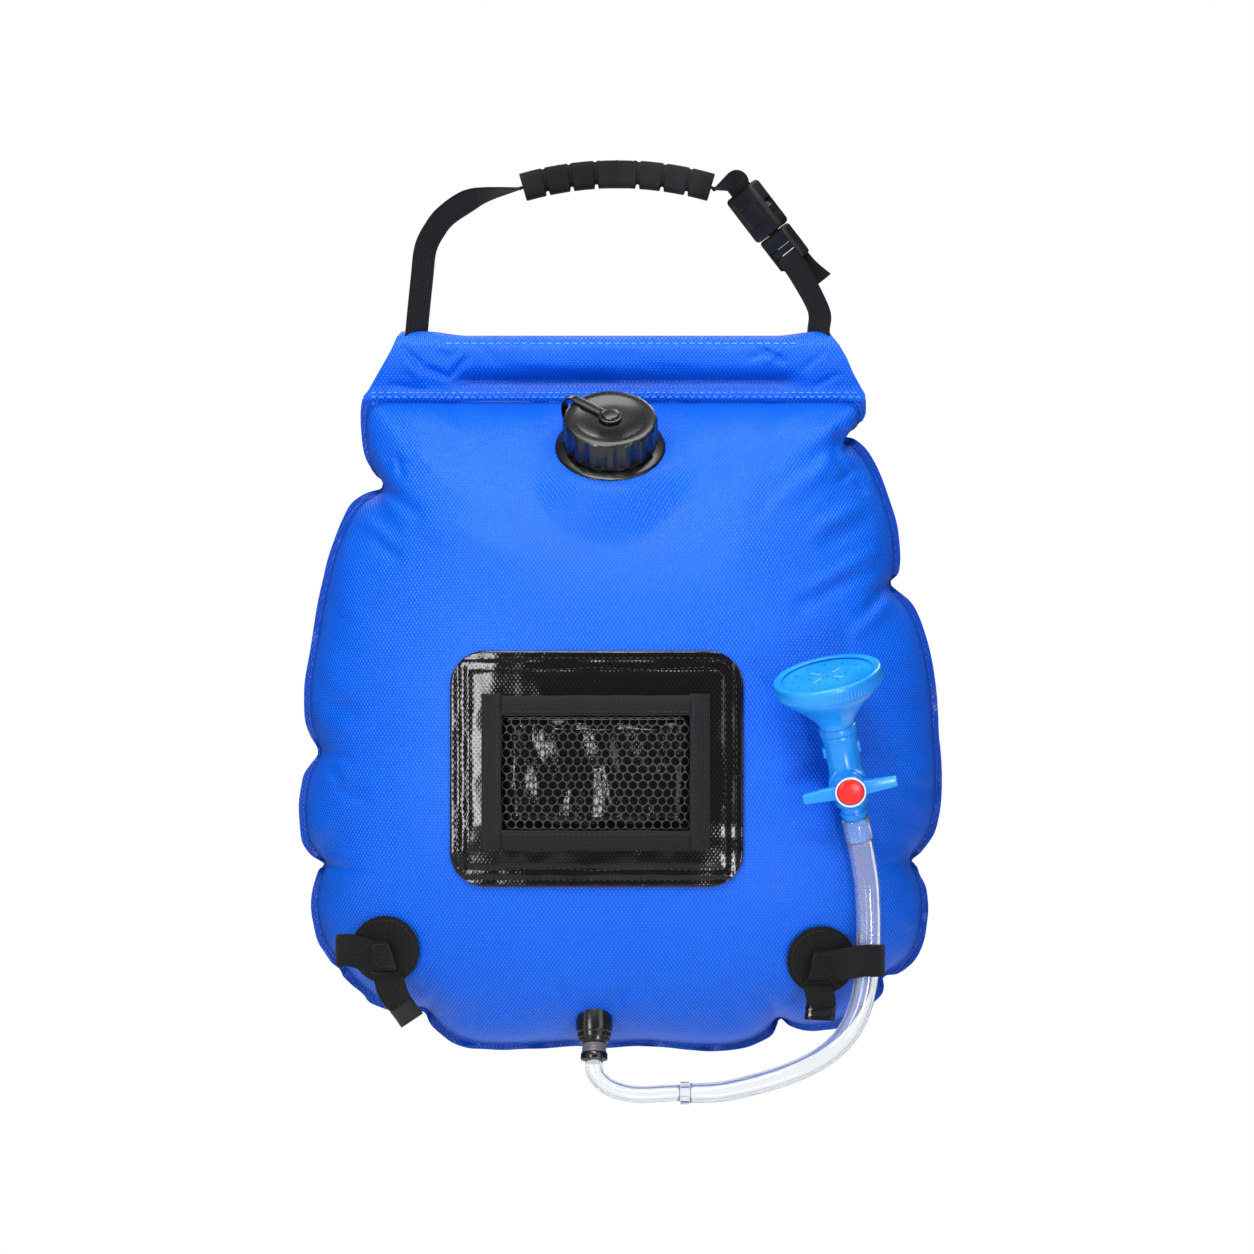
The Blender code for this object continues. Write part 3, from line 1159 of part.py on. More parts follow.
def side_strap(tree, side, place, reach, radius, tail_drop, tail_shift):
    """Round patch with a loop of webbing and a loose tail sewn on it; reach is how far the
    loop's middle lies out to the side and forward of the patch."""
    label = "left" if side < 0 else "right"
    x, z = bag_place(place)
    spot, _ = surface(tree, x, z)
    core = spot + AXIS_X * (side * reach[0]) - AXIS_Y * reach[1]
    normal = smooth_normal(tree, x, z, DISC_RADIUS / 2)
    level = Vector((-normal.y, normal.x, 0)).normalized() * side
    slope = (level.cross(normal) * side).normalized()
    slope = slope if slope.z < 0 else -slope
    add("disc_" + label, disc_grid(tree, x, z, DISC_LIFT, DISC_THICK), "black_webbing")
    on_disc = DISC_LIFT + DISC_THICK + 2 * CLEARANCE
    loop_seat, tail_seat = (LOOP_SEAT_LEFT, TAIL_SEAT_LEFT) if side < 0 else (LOOP_SEAT_RIGHT, TAIL_SEAT_RIGHT)
    step = STRAP_THICK + 2 * CLEARANCE
    back_at = on_disc + loop_seat + STRAP_THICK / 2
    front_at = back_at + step
    half = STRAP_WIDTH / 2
    tail = [
        spot + slope * (half + 2 * DISC_THICK),
        spot + slope * (DISC_RADIUS * 0.8),
        spot + Vector((tail_shift * 0.5, 0, -tail_drop * 0.66)),
        spot + Vector((tail_shift, 0, -tail_drop)),
    ]
    path = smooth_points([point + normal * (on_disc + tail_seat) for point in tail], 3)
    add("tail_" + label, ribbon(path, [level] * len(path), STRAP_WIDTH, STRAP_THICK), "black_webbing")
    loop = [spot - level * half * 0.9 + normal * front_at, spot + level * half * 0.6 + normal * front_at]
    sides = [slope, slope]
    for angle in (110, 70, 35, 0, -35, -70, -110):
        turn = radians(angle)
        loop.append(core + AXIS_X * (side * radius * cos(turn)) - AXIS_Y * (radius * sin(turn)))
        sides.append(-AXIS_Z)
    loop += [spot + level * half + normal * back_at, spot - level * half * 0.6 + normal * back_at]
    sides += [slope, slope]
    path = smooth_points(loop, 3)
    add("loop_" + label, ribbon(path, smooth_points(sides, 3), STRAP_WIDTH, STRAP_THICK), "black_webbing")


def side_straps(tree):
    reach = (LOOP_REACH_RIGHT, LOOP_FORWARD_RIGHT)
    shift = -DISC_RADIUS * 0.08
    side_strap(tree, 1, DISC_RIGHT_PLACE_SHARES, reach, LOOP_OVER_HOSE, TAIL_DROP_RIGHT, shift)
    reach = (LOOP_REACH_LEFT, LOOP_EMPTY)
    shift = DISC_RADIUS * 0.9
    side_strap(tree, -1, DISC_LEFT_PLACE_SHARES, reach, LOOP_EMPTY, TAIL_DROP_LEFT, shift)


def main():
    clear_scene()
    tree = bag_panels()
    top_sleeve()
    filler(tree)
    outlet(tree)
    hoses()
    valve()
    rose()
    handle_webbing()
    grip()
    buckle()
    lower_webbing()
    pocket(tree)
    side_straps(tree)


main()
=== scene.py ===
"""Looks of the camp shower bag: its film, webbing, mouldings, net pocket, hoses and shower head."""

import json
from math import cos, pi, radians, sin, sqrt

import bmesh
import bpy
import numpy as np
from mathutils import Matrix, Vector, noise
from mathutils.bvhtree import BVHTree

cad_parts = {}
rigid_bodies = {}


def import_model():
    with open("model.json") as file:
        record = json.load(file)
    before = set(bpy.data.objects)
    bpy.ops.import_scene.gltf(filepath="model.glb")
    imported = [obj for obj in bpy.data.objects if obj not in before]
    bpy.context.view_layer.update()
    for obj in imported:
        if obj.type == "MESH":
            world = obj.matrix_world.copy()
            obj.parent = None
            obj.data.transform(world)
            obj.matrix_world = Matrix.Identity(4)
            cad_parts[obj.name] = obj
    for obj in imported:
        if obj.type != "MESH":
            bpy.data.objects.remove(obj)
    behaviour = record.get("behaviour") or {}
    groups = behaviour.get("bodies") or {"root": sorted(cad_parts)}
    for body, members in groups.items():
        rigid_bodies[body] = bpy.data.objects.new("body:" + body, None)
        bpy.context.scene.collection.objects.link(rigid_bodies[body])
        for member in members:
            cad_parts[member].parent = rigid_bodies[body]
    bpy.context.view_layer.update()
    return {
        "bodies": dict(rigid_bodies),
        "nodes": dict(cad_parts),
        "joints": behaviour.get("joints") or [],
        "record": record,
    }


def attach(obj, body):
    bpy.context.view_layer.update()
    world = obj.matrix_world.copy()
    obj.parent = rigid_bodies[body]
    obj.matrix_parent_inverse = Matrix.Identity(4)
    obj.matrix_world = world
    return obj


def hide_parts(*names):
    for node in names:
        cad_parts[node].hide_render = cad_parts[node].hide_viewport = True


MM = 0.001
X, Y, Z = Vector((1, 0, 0)), Vector((0, 1, 0)), Vector((0, 0, 1))

# ---------------------------------------------------------------- camera and light
PIXEL = 0.0006
PHOTO_MIDDLE = 627
VIEW_X, VIEW_Z = 0.0036, -0.2634
VIEW_DISTANCE = 8.0


def photo_point(px, py, y=0.0):
    """The point at depth y that the photograph shows at a pixel."""
    scale = PIXEL * (VIEW_DISTANCE + y) / VIEW_DISTANCE
    return Vector((VIEW_X + (px - PHOTO_MIDDLE) * scale, y, VIEW_Z - (py - PHOTO_MIDDLE) * scale))


def photo_pixels(points):
    """The pixels of an array of points."""
    scale = PIXEL * (VIEW_DISTANCE + points[:, 1]) / VIEW_DISTANCE
    return np.stack([PHOTO_MIDDLE + (points[:, 0] - VIEW_X) / scale, PHOTO_MIDDLE - (points[:, 2] - VIEW_Z) / scale], 1)


def add_camera():
    bpy.ops.object.camera_add(location=(VIEW_X, -VIEW_DISTANCE, VIEW_Z), rotation=(pi / 2, 0, 0))
    camera = bpy.context.object
    camera.data.sensor_width = 36
    camera.data.lens = 36 * VIEW_DISTANCE / (2 * PHOTO_MIDDLE * PIXEL)
    bpy.context.scene.camera = camera


def add_softbox(name, place, target, size, power, colour=(1, 1, 1)):
    bpy.ops.object.light_add(type="AREA", location=place)
    lamp = bpy.context.object
    lamp.name = name
    lamp.data.shape = "RECTANGLE"
    lamp.data.size, lamp.data.size_y = size
    lamp.data.energy = power
    lamp.data.color = colour
    lamp.rotation_euler = (Vector(target) - Vector(place)).to_track_quat("-Z", "Y").to_euler()


def add_studio():
    scene = bpy.context.scene
    scene.view_settings.view_transform = "Standard"
    world = bpy.data.worlds.new("pale room")
    scene.world = world
    world.use_nodes = True
    nodes, links = world.node_tree.nodes, world.node_tree.links
    seen, room = nodes["Background"], nodes.new("ShaderNodeBackground")
    seen.inputs["Color"].default_value = (1, 1, 1, 1)
    room.inputs["Color"].default_value = (0.09, 0.092, 0.097, 1)
    mix, rays = nodes.new("ShaderNodeMixShader"), nodes.new("ShaderNodeLightPath")
    straight = nodes.new("ShaderNodeMath")
    straight.operation = "MAXIMUM"
    links.new(rays.outputs["Is Camera Ray"], straight.inputs[0])
    links.new(rays.outputs["Is Transmission Ray"], straight.inputs[1])
    links.new(straight.outputs[0], mix.inputs[0])
    links.new(room.outputs[0], mix.inputs[1])
    links.new(seen.outputs[0], mix.inputs[2])
    links.new(mix.outputs[0], nodes["World Output"].inputs[0])
    aim = (0, 0, -0.3)
    add_softbox("key softbox", (-0.5, -1.5, 1.5), aim, (1.1, 0.7), 31)
    add_softbox("fill softbox", (1.7, -1.8, 0.2), aim, (0.9, 1.6), 12)
    add_softbox("left strip", (-1.8, -0.9, -0.2), aim, (0.3, 1.6), 3)
    add_softbox("top softbox", (0.1, -0.3, 1.6), aim, (1.4, 0.8), 20)
    add_softbox("band softbox", (0.1, -1.8, 0.9), aim, (0.9, 0.18), 16)
    add_softbox("left glint", (-1.0, -1.8, -0.32), aim, (0.30, 0.9), 16)
    add_softbox("low glint", (0.9, -1.75, -1.05), aim, (0.4, 0.4), 11)
    add_softbox("back softbox right", (0.7, 1.7, 1.7), aim, (0.9, 0.9), 16)
    add_softbox("back softbox left", (-0.7, 1.8, 1.5), aim, (0.9, 0.9), 14)
    add_softbox("floor softbox", (0, 0, -1.2), (0, 0, -3), (16, 16), 500)
    bpy.ops.mesh.primitive_plane_add(size=16, location=(0, 0, -3.0))
    floor = bpy.context.object
    floor.name = "studio_floor"
    floor.data.materials.append(Finish("pale floor", Base_Color=(0.86, 0.86, 0.86, 1), Roughness=0.9).material)


# ---------------------------------------------------------------- shader expressions
class Wire:
    """A socket of a finish; operators on it add Math nodes."""

    def __init__(self, finish, socket):
        self.finish, self.socket = finish, socket

    def math(self, operation, *others):
        return self.finish.node("Math", {"operation": operation}, [self, *others])

    def __add__(self, other):
        return self.math("ADD", other)

    __radd__ = __add__

    def __sub__(self, other):
        return self.math("SUBTRACT", other)

    def __rsub__(self, other):
        return self.finish.node("Math", {"operation": "SUBTRACT"}, [other, self])

    def __mul__(self, other):
        return self.math("MULTIPLY", other)

    __rmul__ = __mul__

    def __truediv__(self, other):
        return self.math("DIVIDE", other)

    def __pow__(self, other):
        return self.math("POWER", other)

    def sine(self):
        return self.math("SINE")

    def abs(self):
        return self.math("ABSOLUTE")

    def ramp(self, low, high):
        """0 below low, 1 above high and a smooth step between."""
        return self.finish.node("MapRange", {"interpolation_type": "SMOOTHSTEP"}, [self, low, high])


class Finish:
    """A material, its Principled shader and the nodes that feed it."""

    def __init__(self, name, **sockets):
        self.material = bpy.data.materials.new(name)
        self.material.use_nodes = True
        self.tree = self.material.node_tree
        self.shader = self.tree.nodes["Principled BSDF"]
        for label, value in sockets.items():
            self.shader.inputs[label.replace("_", " ")].default_value = value

    def node(self, kind, settings=None, values=(), output=0, **named):
        made = self.tree.nodes.new("ShaderNode" + kind)
        for label, value in (settings or {}).items():
            if label == "stops":
                ramp = made.color_ramp
                while len(ramp.elements) < len(value):
                    ramp.elements.new(0.5)
                for stop, (place, colour) in zip(ramp.elements, value):
                    stop.position, stop.color = place, colour
            else:
                setattr(made, label, value)
        given = list(enumerate(values)) + [(label.replace("_", " "), value) for label, value in named.items()]
        for place, value in given:
            socket = made.inputs[place]
            if isinstance(value, Wire):
                self.tree.links.new(value.socket, socket)
            else:
                socket.default_value = value
        return Wire(self, made.outputs[output])

    def object_place(self):
        return self.node("TexCoord", output="Object")

    def cloth_place(self):
        return self.node("TexCoord", output="UV")

    def parts(self, vector):
        split = self.node("SeparateXYZ", None, [vector])
        return [Wire(self, split.socket.node.outputs[k]) for k in range(3)]

    def cloud(self, place, scale, detail=3.0, roughness=0.5):
        return self.node("TexNoise", None, Vector=place, Scale=scale, Detail=detail, Roughness=roughness)

    def between(self, share, low, high):
        """A colour between two."""
        mixed = self.node("Mix", {"data_type": "RGBA"}, output=2)
        node = mixed.socket.node
        for slot, value in ((0, share), (6, low), (7, high)):
            if isinstance(value, Wire):
                self.tree.links.new(value.socket, node.inputs[slot])
            else:
                node.inputs[slot].default_value = value
        return mixed

    def feed(self, label, wire):
        self.tree.links.new(wire.socket, self.shader.inputs[label])

    def emboss(self, *layers):
        """Bump layers, each a (height, depth in metres)."""
        normal = None
        for height, depth in layers:
            more = {"Normal": normal} if normal else {}
            normal = self.node("Bump", None, Height=height, Distance=depth, Strength=1.0, **more)
        self.feed("Normal", normal)


def stripes(wire, pitch):
    """A round wave of the given pitch, from 0 to 1."""
    return (wire * (2 * pi / pitch)).sine() * 0.5 + 0.5


def film_finish(name, deep, pale, weld, pitch, roughness, depth, coat=0.0, specular=0.24):
    """Coated film with a diamond emboss and a darker weld along its edge; the same darker colour is painted shade on
    the band under the header roll.
    """
    made = Finish(name, Roughness=roughness, Coat_Weight=coat, Coat_Roughness=0.12, Specular_IOR_Level=specular)
    place = made.cloth_place()
    u, v, _ = made.parts(place)
    turn = radians(33.7)
    a = u * cos(turn) + v * sin(turn)
    b = u * cos(turn) - v * sin(turn)
    cells = stripes(a, pitch) * stripes(b, pitch)
    wear = made.cloud(made.object_place(), 18.0, 4.0)
    fine = made.cloud(made.object_place(), 900.0, 2.0)
    # The attribute marks the real welds and also the band under the header roll, where the darker colour is painted
    # shade.
    edge = made.node("Attribute", {"attribute_name": "weld"}, output="Fac")
    body = made.between(cells.ramp(0.10, 0.70) * 0.8 + wear * 0.2, deep, pale)
    made.feed("Base Color", made.between(edge, body, weld))
    made.feed("Roughness", wear * 0.10 + (roughness - 0.05) - edge * 0.08)
    made.emboss((cells * (1 - edge * 0.6), depth), (wear, 0.0016), (fine, 0.00004))
    return made.material


def webbing_finish(name, colour, pale, pitch=0.0016):
    """Woven strap: ribs along it that the cross threads break up."""
    made = Finish(name, Roughness=0.78, Sheen_Weight=0.06, Sheen_Roughness=0.5, Specular_IOR_Level=0.22)
    u, v, _ = made.parts(made.cloth_place())
    rib = stripes(u, pitch)
    cross = stripes(v + (u * (pi / pitch)).sine() * (pitch * 0.22), pitch * 0.62)
    weave = rib * 0.45 + cross * 0.55
    fuzz = made.cloud(made.object_place(), 1400.0, 2.0)
    made.feed("Base Color", made.between(weave.ramp(0.2, 0.9) * 0.8 + fuzz * 0.2, colour, pale))
    made.feed("Roughness", 0.9 - weave * 0.22)
    made.emboss((weave, 0.00035), (fuzz, 0.00006))
    return made.material


def moulding_finish(name, colour, pale, roughness=0.38, grain=700.0, depth=0.00003, **sockets):
    """Moulded plastic with a fine grain, faint flow marks and rubbed lighter patches."""
    made = Finish(name, Roughness=roughness, **sockets)
    place = made.object_place()
    grains = made.cloud(place, grain, 2.0)
    flow = made.cloud(place, 35.0, 4.0)
    made.feed("Base Color", made.between(flow.ramp(0.35, 0.75), colour, pale))
    made.feed("Roughness", flow * 0.12 + grains * 0.08 + (roughness - 0.10))
    made.emboss((grains, depth), (flow, 0.0001))
    return made.material


def clear_finish(name):
    made = Finish(name, Base_Color=(0.93, 0.95, 0.97, 1), Transmission_Weight=0.92, IOR=1.40)
    haze = made.cloud(made.object_place(), 30.0, 2.0)
    made.feed("Roughness", haze * 0.05 + 0.02)
    made.emboss((haze, 0.0001))
    return made.material


def make_finishes():
    black, dark = (0.003, 0.003, 0.0035, 1), (0.009, 0.009, 0.010, 1)
    blue = film_finish("blue coated film", (0.001, 0.066, 0.58, 1), (0.002, 0.185, 0.93, 1), (0.001, 0.050, 0.38, 1), 0.0020, 0.36, 0.00034)
    return {
        "blue_film": blue,
        "black_film": film_finish("black coated film", black, dark, black, 0.0020, 0.13, 0.00006, 0.35, 0.3),
        "black_lining": film_finish("crinkled black film", black, dark, black, 0.0021, 0.14, 0.00006, 0.3, 0.24),
        "black_moulding": moulding_finish("black moulding", black, dark, 0.28, Coat_Weight=0.2, Coat_Roughness=0.12),
        "buckle_moulding": moulding_finish("buckle moulding", black, dark, 0.46, Specular_IOR_Level=0.3),
        "black_webbing": webbing_finish("black webbing", (0.0015, 0.0015, 0.002, 1), (0.007, 0.007, 0.0078, 1)),
        "black_tape": webbing_finish("black binding tape", (0.004, 0.004, 0.0045, 1), (0.020, 0.020, 0.022, 1), 0.0011),
        "black_net": moulding_finish("net strand", (0.010, 0.010, 0.011, 1), (0.026, 0.026, 0.028, 1), 0.6, 1500.0, 0.00005),
        "soft_rubber": moulding_finish("soft rubber", (0.006, 0.006, 0.007, 1), (0.014, 0.014, 0.016, 1), 0.66, 1100.0, 0.00006, Specular_IOR_Level=0.10),
        "grey_rubber": moulding_finish("grey rubber", (0.09, 0.09, 0.095, 1), (0.15, 0.15, 0.155, 1), 0.6),
        "light_blue_moulding": moulding_finish("light blue moulding", (0.006, 0.235, 0.78, 1), (0.018, 0.325, 0.92, 1), 0.24, 500.0, 0.00002, Subsurface_Weight=0.12, Subsurface_Scale=0.004),
        # Paler light blue, a painted highlight on the spray face's raised strokes.
        "blue_moulding_painted_highlight": moulding_finish("blue moulding painted highlight", (0.12, 0.46, 0.90, 1), (0.20, 0.54, 0.95, 1), 0.3),
        "red_moulding": moulding_finish("red moulding", (0.74, 0.012, 0.010, 1), (0.86, 0.030, 0.022, 1), 0.32, 260.0, 0.00012),
        # Pale colour that stands for a painted highlight on the button's light blue rim.
        "rim_painted_highlight": moulding_finish("rim painted highlight", (0.62, 0.72, 0.82, 1), (0.74, 0.82, 0.90, 1), 0.3),
        "clear_hose": clear_finish("clear hose"),
        "grey_moulding": moulding_finish("grey moulding", (0.10, 0.10, 0.105, 1), (0.19, 0.19, 0.20, 1), 0.42),
        "blue_thread": moulding_finish("blue thread", (0.05, 0.27, 0.88, 1), (0.12, 0.38, 0.95, 1), 0.6),
        "black_thread": moulding_finish("black thread", (0.006, 0.006, 0.006, 1), (0.02, 0.02, 0.02, 1), 0.6),
    }


# ---------------------------------------------------------------- shared making
def finished(obj, body, slot, replaces=(), finish=None, smooth=None):
    """Gives a made piece its finish, its body and the CAD nodes that it stands for."""
    obj.data.materials.clear()
    obj.data.materials.append(FINISHES[finish or slot])
    if smooth is not None:
        obj.data.shade_smooth()
        obj.data.set_sharp_from_angle(angle=radians(smooth))
    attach(obj, body)
    if replaces:
        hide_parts(*replaces)
    return obj


def new_mesh(name, points, faces):
    mesh = bpy.data.meshes.new(name)
    mesh.from_pydata([tuple(p) for p in points], [], faces)
    mesh.update()
    made = bpy.data.objects.new(name, mesh)
    bpy.context.scene.collection.objects.link(made)
    return made


def apply_modifier(obj, kind, **settings):
    change = obj.modifiers.new(kind, kind)
    for label, value in settings.items():
        setattr(change, label, value)
    bpy.ops.object.select_all(action="DESELECT")
    bpy.context.view_layer.objects.active = obj
    obj.select_set(True)
    bpy.ops.object.modifier_apply(modifier=change.name)


def set_uv(obj, pairs):
    """UV in metres, given for each vertex."""
    layer = obj.data.uv_layers.new(name="cloth")
    for loop in obj.data.loops:
        layer.data[loop.index].uv = pairs[loop.vertex_index]


def grid_faces(rows, columns, wrap=False):
    faces = []
    for j in range(rows - 1):
        for i in range(columns if wrap else columns - 1):
            after = (i + 1) % columns
            faces.append((j * columns + i, j * columns + after, (j + 1) * columns + after, (j + 1) * columns + i))
    return faces


def smooth_path(points, parts):
    """Catmull-Rom curve through points."""
    points = [Vector(p) for p in points]
    ends = [points[0] * 2 - points[1]] + points + [points[-1] * 2 - points[-2]]
    out = []
    for a, b, c, d in zip(ends, ends[1:], ends[2:], ends[3:]):
        for step in range(parts):
            t = step / parts
            bend = (b * 3 - a - c * 3 + d) * t**3 + (a * 2 - b * 5 + c * 4 - d) * t**2 + (c - a) * t + b * 2
            out.append(bend / 2)
    return out + [points[-1]]


def even_path(points, spacing):
    lengths = [0.0]
    for a, b in zip(points, points[1:]):
        lengths.append(lengths[-1] + (b - a).length)
    count = max(2, round(lengths[-1] / spacing))
    out, at = [], 0
    for step in range(count + 1):
        goal = lengths[-1] * step / count
        while at < len(points) - 2 and lengths[at + 1] < goal:
            at += 1
        out.append(points[at].lerp(points[at + 1], min(1, (goal - lengths[at]) / (lengths[at + 1] - lengths[at]))))
    return out


def ease(value, low, high):
    share = np.clip((value - low) / (high - low), 0, 1)
    return share * share * (3 - 2 * share)


def folds(pixels, lines):
    """Depth of grooves and ridges along photographed lines: (x, y, x, y, depth, half width, end)."""
    total = np.zeros(len(pixels))
    for x0, y0, x1, y1, depth, wide, end in lines:
        start, along = np.array((x0, y0), float), np.array((x1 - x0, y1 - y0), float)
        share = ((pixels - start) @ along) / (along @ along)
        off = np.linalg.norm(pixels - start - np.clip(share, 0, 1)[:, None] * along, axis=1)
        if end == "open":
            fade = np.clip(1 - share, 0, 1) ** 0.8 * (share > -0.3)
        else:
            fade = np.sin(pi * np.clip(share, 0, 1)) ** 0.7
        total += depth * MM * fade * (np.exp(-((off / wide) ** 2)) - 0.28 * np.exp(-((off / (2.4 * wide)) ** 2)))
    return total


# ---------------------------------------------------------------- hoses
HOSE_UPPER_ROUTE = [
    (0.1416, -0.0780, -0.3894), (0.1441, -0.0736, -0.4024), (0.1462, -0.0698, -0.4160),
    (0.1472, -0.0668, -0.4300), (0.1475, -0.0648, -0.4440), (0.1472, -0.0634, -0.4580),
    (0.1462, -0.0622, -0.4720), (0.1438, -0.0610, -0.4850), (0.1396, -0.0600, -0.4970),
    (0.1330, -0.0590, -0.5078), (0.1236, -0.0580, -0.5170), (0.1118, -0.0568, -0.5244),
    (0.0984, -0.0556, -0.5302), (0.0840, -0.0544, -0.5348), (0.0700, -0.0528, -0.5384),
    (0.0580, -0.0514, -0.5406), (0.0480, -0.0510, -0.5412), (0.0412, -0.0510, -0.5412),
]
HOSE_LOWER_ROUTE = [
    (-0.0160, -0.0450, -0.5221), (-0.0160, -0.0459, -0.5262), (-0.0148, -0.0468, -0.5304),
    (-0.0118, -0.0476, -0.5344), (-0.0072, -0.0484, -0.5378), (-0.0014, -0.0491, -0.5402),
    (0.0054, -0.0498, -0.5417), (0.0130, -0.0504, -0.5422), (0.0210, -0.0508, -0.5418),
    (0.0290, -0.0510, -0.5412), (0.0352, -0.0510, -0.5412),
]


def hollow_tube(name, route, radii, wall, sides=28):
    """A tube with a bore along a route; radii are (share of the route, outer radius)."""
    path = even_path(smooth_path(route, 12), 2 * MM)
    places, outers = zip(*radii)
    rings = [np.interp(k / (len(path) - 1), places, outers) for k in range(len(path))]
    points = []
    turn = None
    frames = []
    for k, point in enumerate(path):
        ahead = (path[min(k + 1, len(path) - 1)] - path[max(k - 1, 0)]).normalized()
        side = ahead.cross(Y).normalized() if turn is None else (turn - ahead * turn.dot(ahead)).normalized()
        turn = side
        frames.append((point, side, ahead.cross(side)))
    order = [(k, 0.0) for k in range(len(path))] + [(k, wall) for k in reversed(range(len(path)))]
    for k, inset in order:
        point, side, up = frames[k]
        for step in range(sides):
            angle = 2 * pi * step / sides
            points.append(point + (side * cos(angle) + up * sin(angle)) * (rings[k] - inset))
    faces = grid_faces(len(order), sides, wrap=True)
    last = (len(order) - 1) * sides
    faces += [(last + k, last + (k + 1) % sides, (k + 1) % sides, k) for k in range(sides)]
    made = new_mesh(name, points, faces)
    outward(made)
    made.data.shade_smooth()
    return made, path


def outward(obj):
    bm = bmesh.new()
    bm.from_mesh(obj.data)
    bmesh.ops.recalc_face_normals(bm, faces=bm.faces)
    bm.to_mesh(obj.data)
    bm.free()


def route_length(path):
    return sum((b - a).length for a, b in zip(path, path[1:]))


def add_hoses():
    upper, path = hollow_tube("wide_hose", HOSE_UPPER_ROUTE, ((0, 7.6 * MM), (0.35, 7.3 * MM), (0.6, 6.6 * MM), (1, 5.9 * MM)), 1.7 * MM)
    finished(upper, "bag", "clear_hose", ["hose_upper"])
    route_length(path)
    lower, path = hollow_tube("thin_hose", HOSE_LOWER_ROUTE, ((0, 5.2 * MM), (1, 4.9 * MM)), 1.3 * MM)
    finished(lower, "bag", "clear_hose", ["hose_lower"])
    route_length(path)


# ---------------------------------------------------------------- bag film
BAG_WIDTH, BAG_HEIGHT, BAG_TOP = 0.386, 0.3936, 0.1248
FRONT_BULGE, BACK_BULGE = 0.088, 0.080
WELD_SHARE = 0.004 / (BAG_WIDTH / 2)
RIM_DEPTH = 0.00135
FILM = 0.0007
# Edge of the bag below the sleeve, in pixels of the photograph, from the top left round the foot
EDGE = [
    (365, 396), (361, 407), (361, 430), (364, 453), (369, 465), (375, 473), (381, 479), (383, 485), (380, 489), (369, 492),
    (359, 497), (350, 505), (343, 518), (336, 535), (328, 558), (323, 579), (318, 601), (314, 625), (310, 651), (305, 679),
    (304, 699), (305, 720), (310, 735), (316, 745), (318, 751), (317, 756), (310, 765), (304, 774), (301, 787), (299, 801),
    (299, 815), (301, 837), (304, 846), (311, 855), (319, 860), (325, 865), (320, 868), (316, 877), (312, 892), (311, 909),
    (314, 927), (318, 942), (325, 953), (332, 963), (340, 969), (343, 976), (352, 985), (363, 994), (369, 1002), (380, 1007),
    (392, 1011), (403, 1012), (415, 1011), (425, 1012), (427, 1017), (432, 1026), (442, 1035), (453, 1043), (468, 1048),
    (484, 1049), (503, 1050), (522, 1049), (549, 1048), (578, 1046), (605, 1048), (635, 1046), (662, 1047), (691, 1050),
    (719, 1051), (744, 1048), (760, 1042), (772, 1035), (777, 1025), (780, 1018), (786, 1023), (795, 1028), (809, 1031),
    (825, 1030), (842, 1027), (858, 1016), (872, 1004), (882, 994), (884, 985), (883, 978), (888, 975), (897, 974), (908, 967),
    (917, 957), (924, 941), (927, 923), (928, 905), (926, 887), (920, 875), (916, 865), (911, 861), (919, 854), (926, 846),
    (934, 834), (938, 821), (941, 803), (942, 779), (941, 755), (939, 735), (938, 711), (936, 687), (932, 660), (926, 636),
    (918, 614), (910, 601), (898, 591), (890, 583), (897, 575), (900, 565), (900, 549), (897, 524), (889, 498), (879, 471),
    (867, 450), (854, 439), (842, 436), (846, 433), (851, 429), (859, 423), (865, 416), (866, 406), (864, 396),
    (850, 396), (770, 396), (690, 396), (600, 396), (510, 396), (430, 396), (378, 396),
]
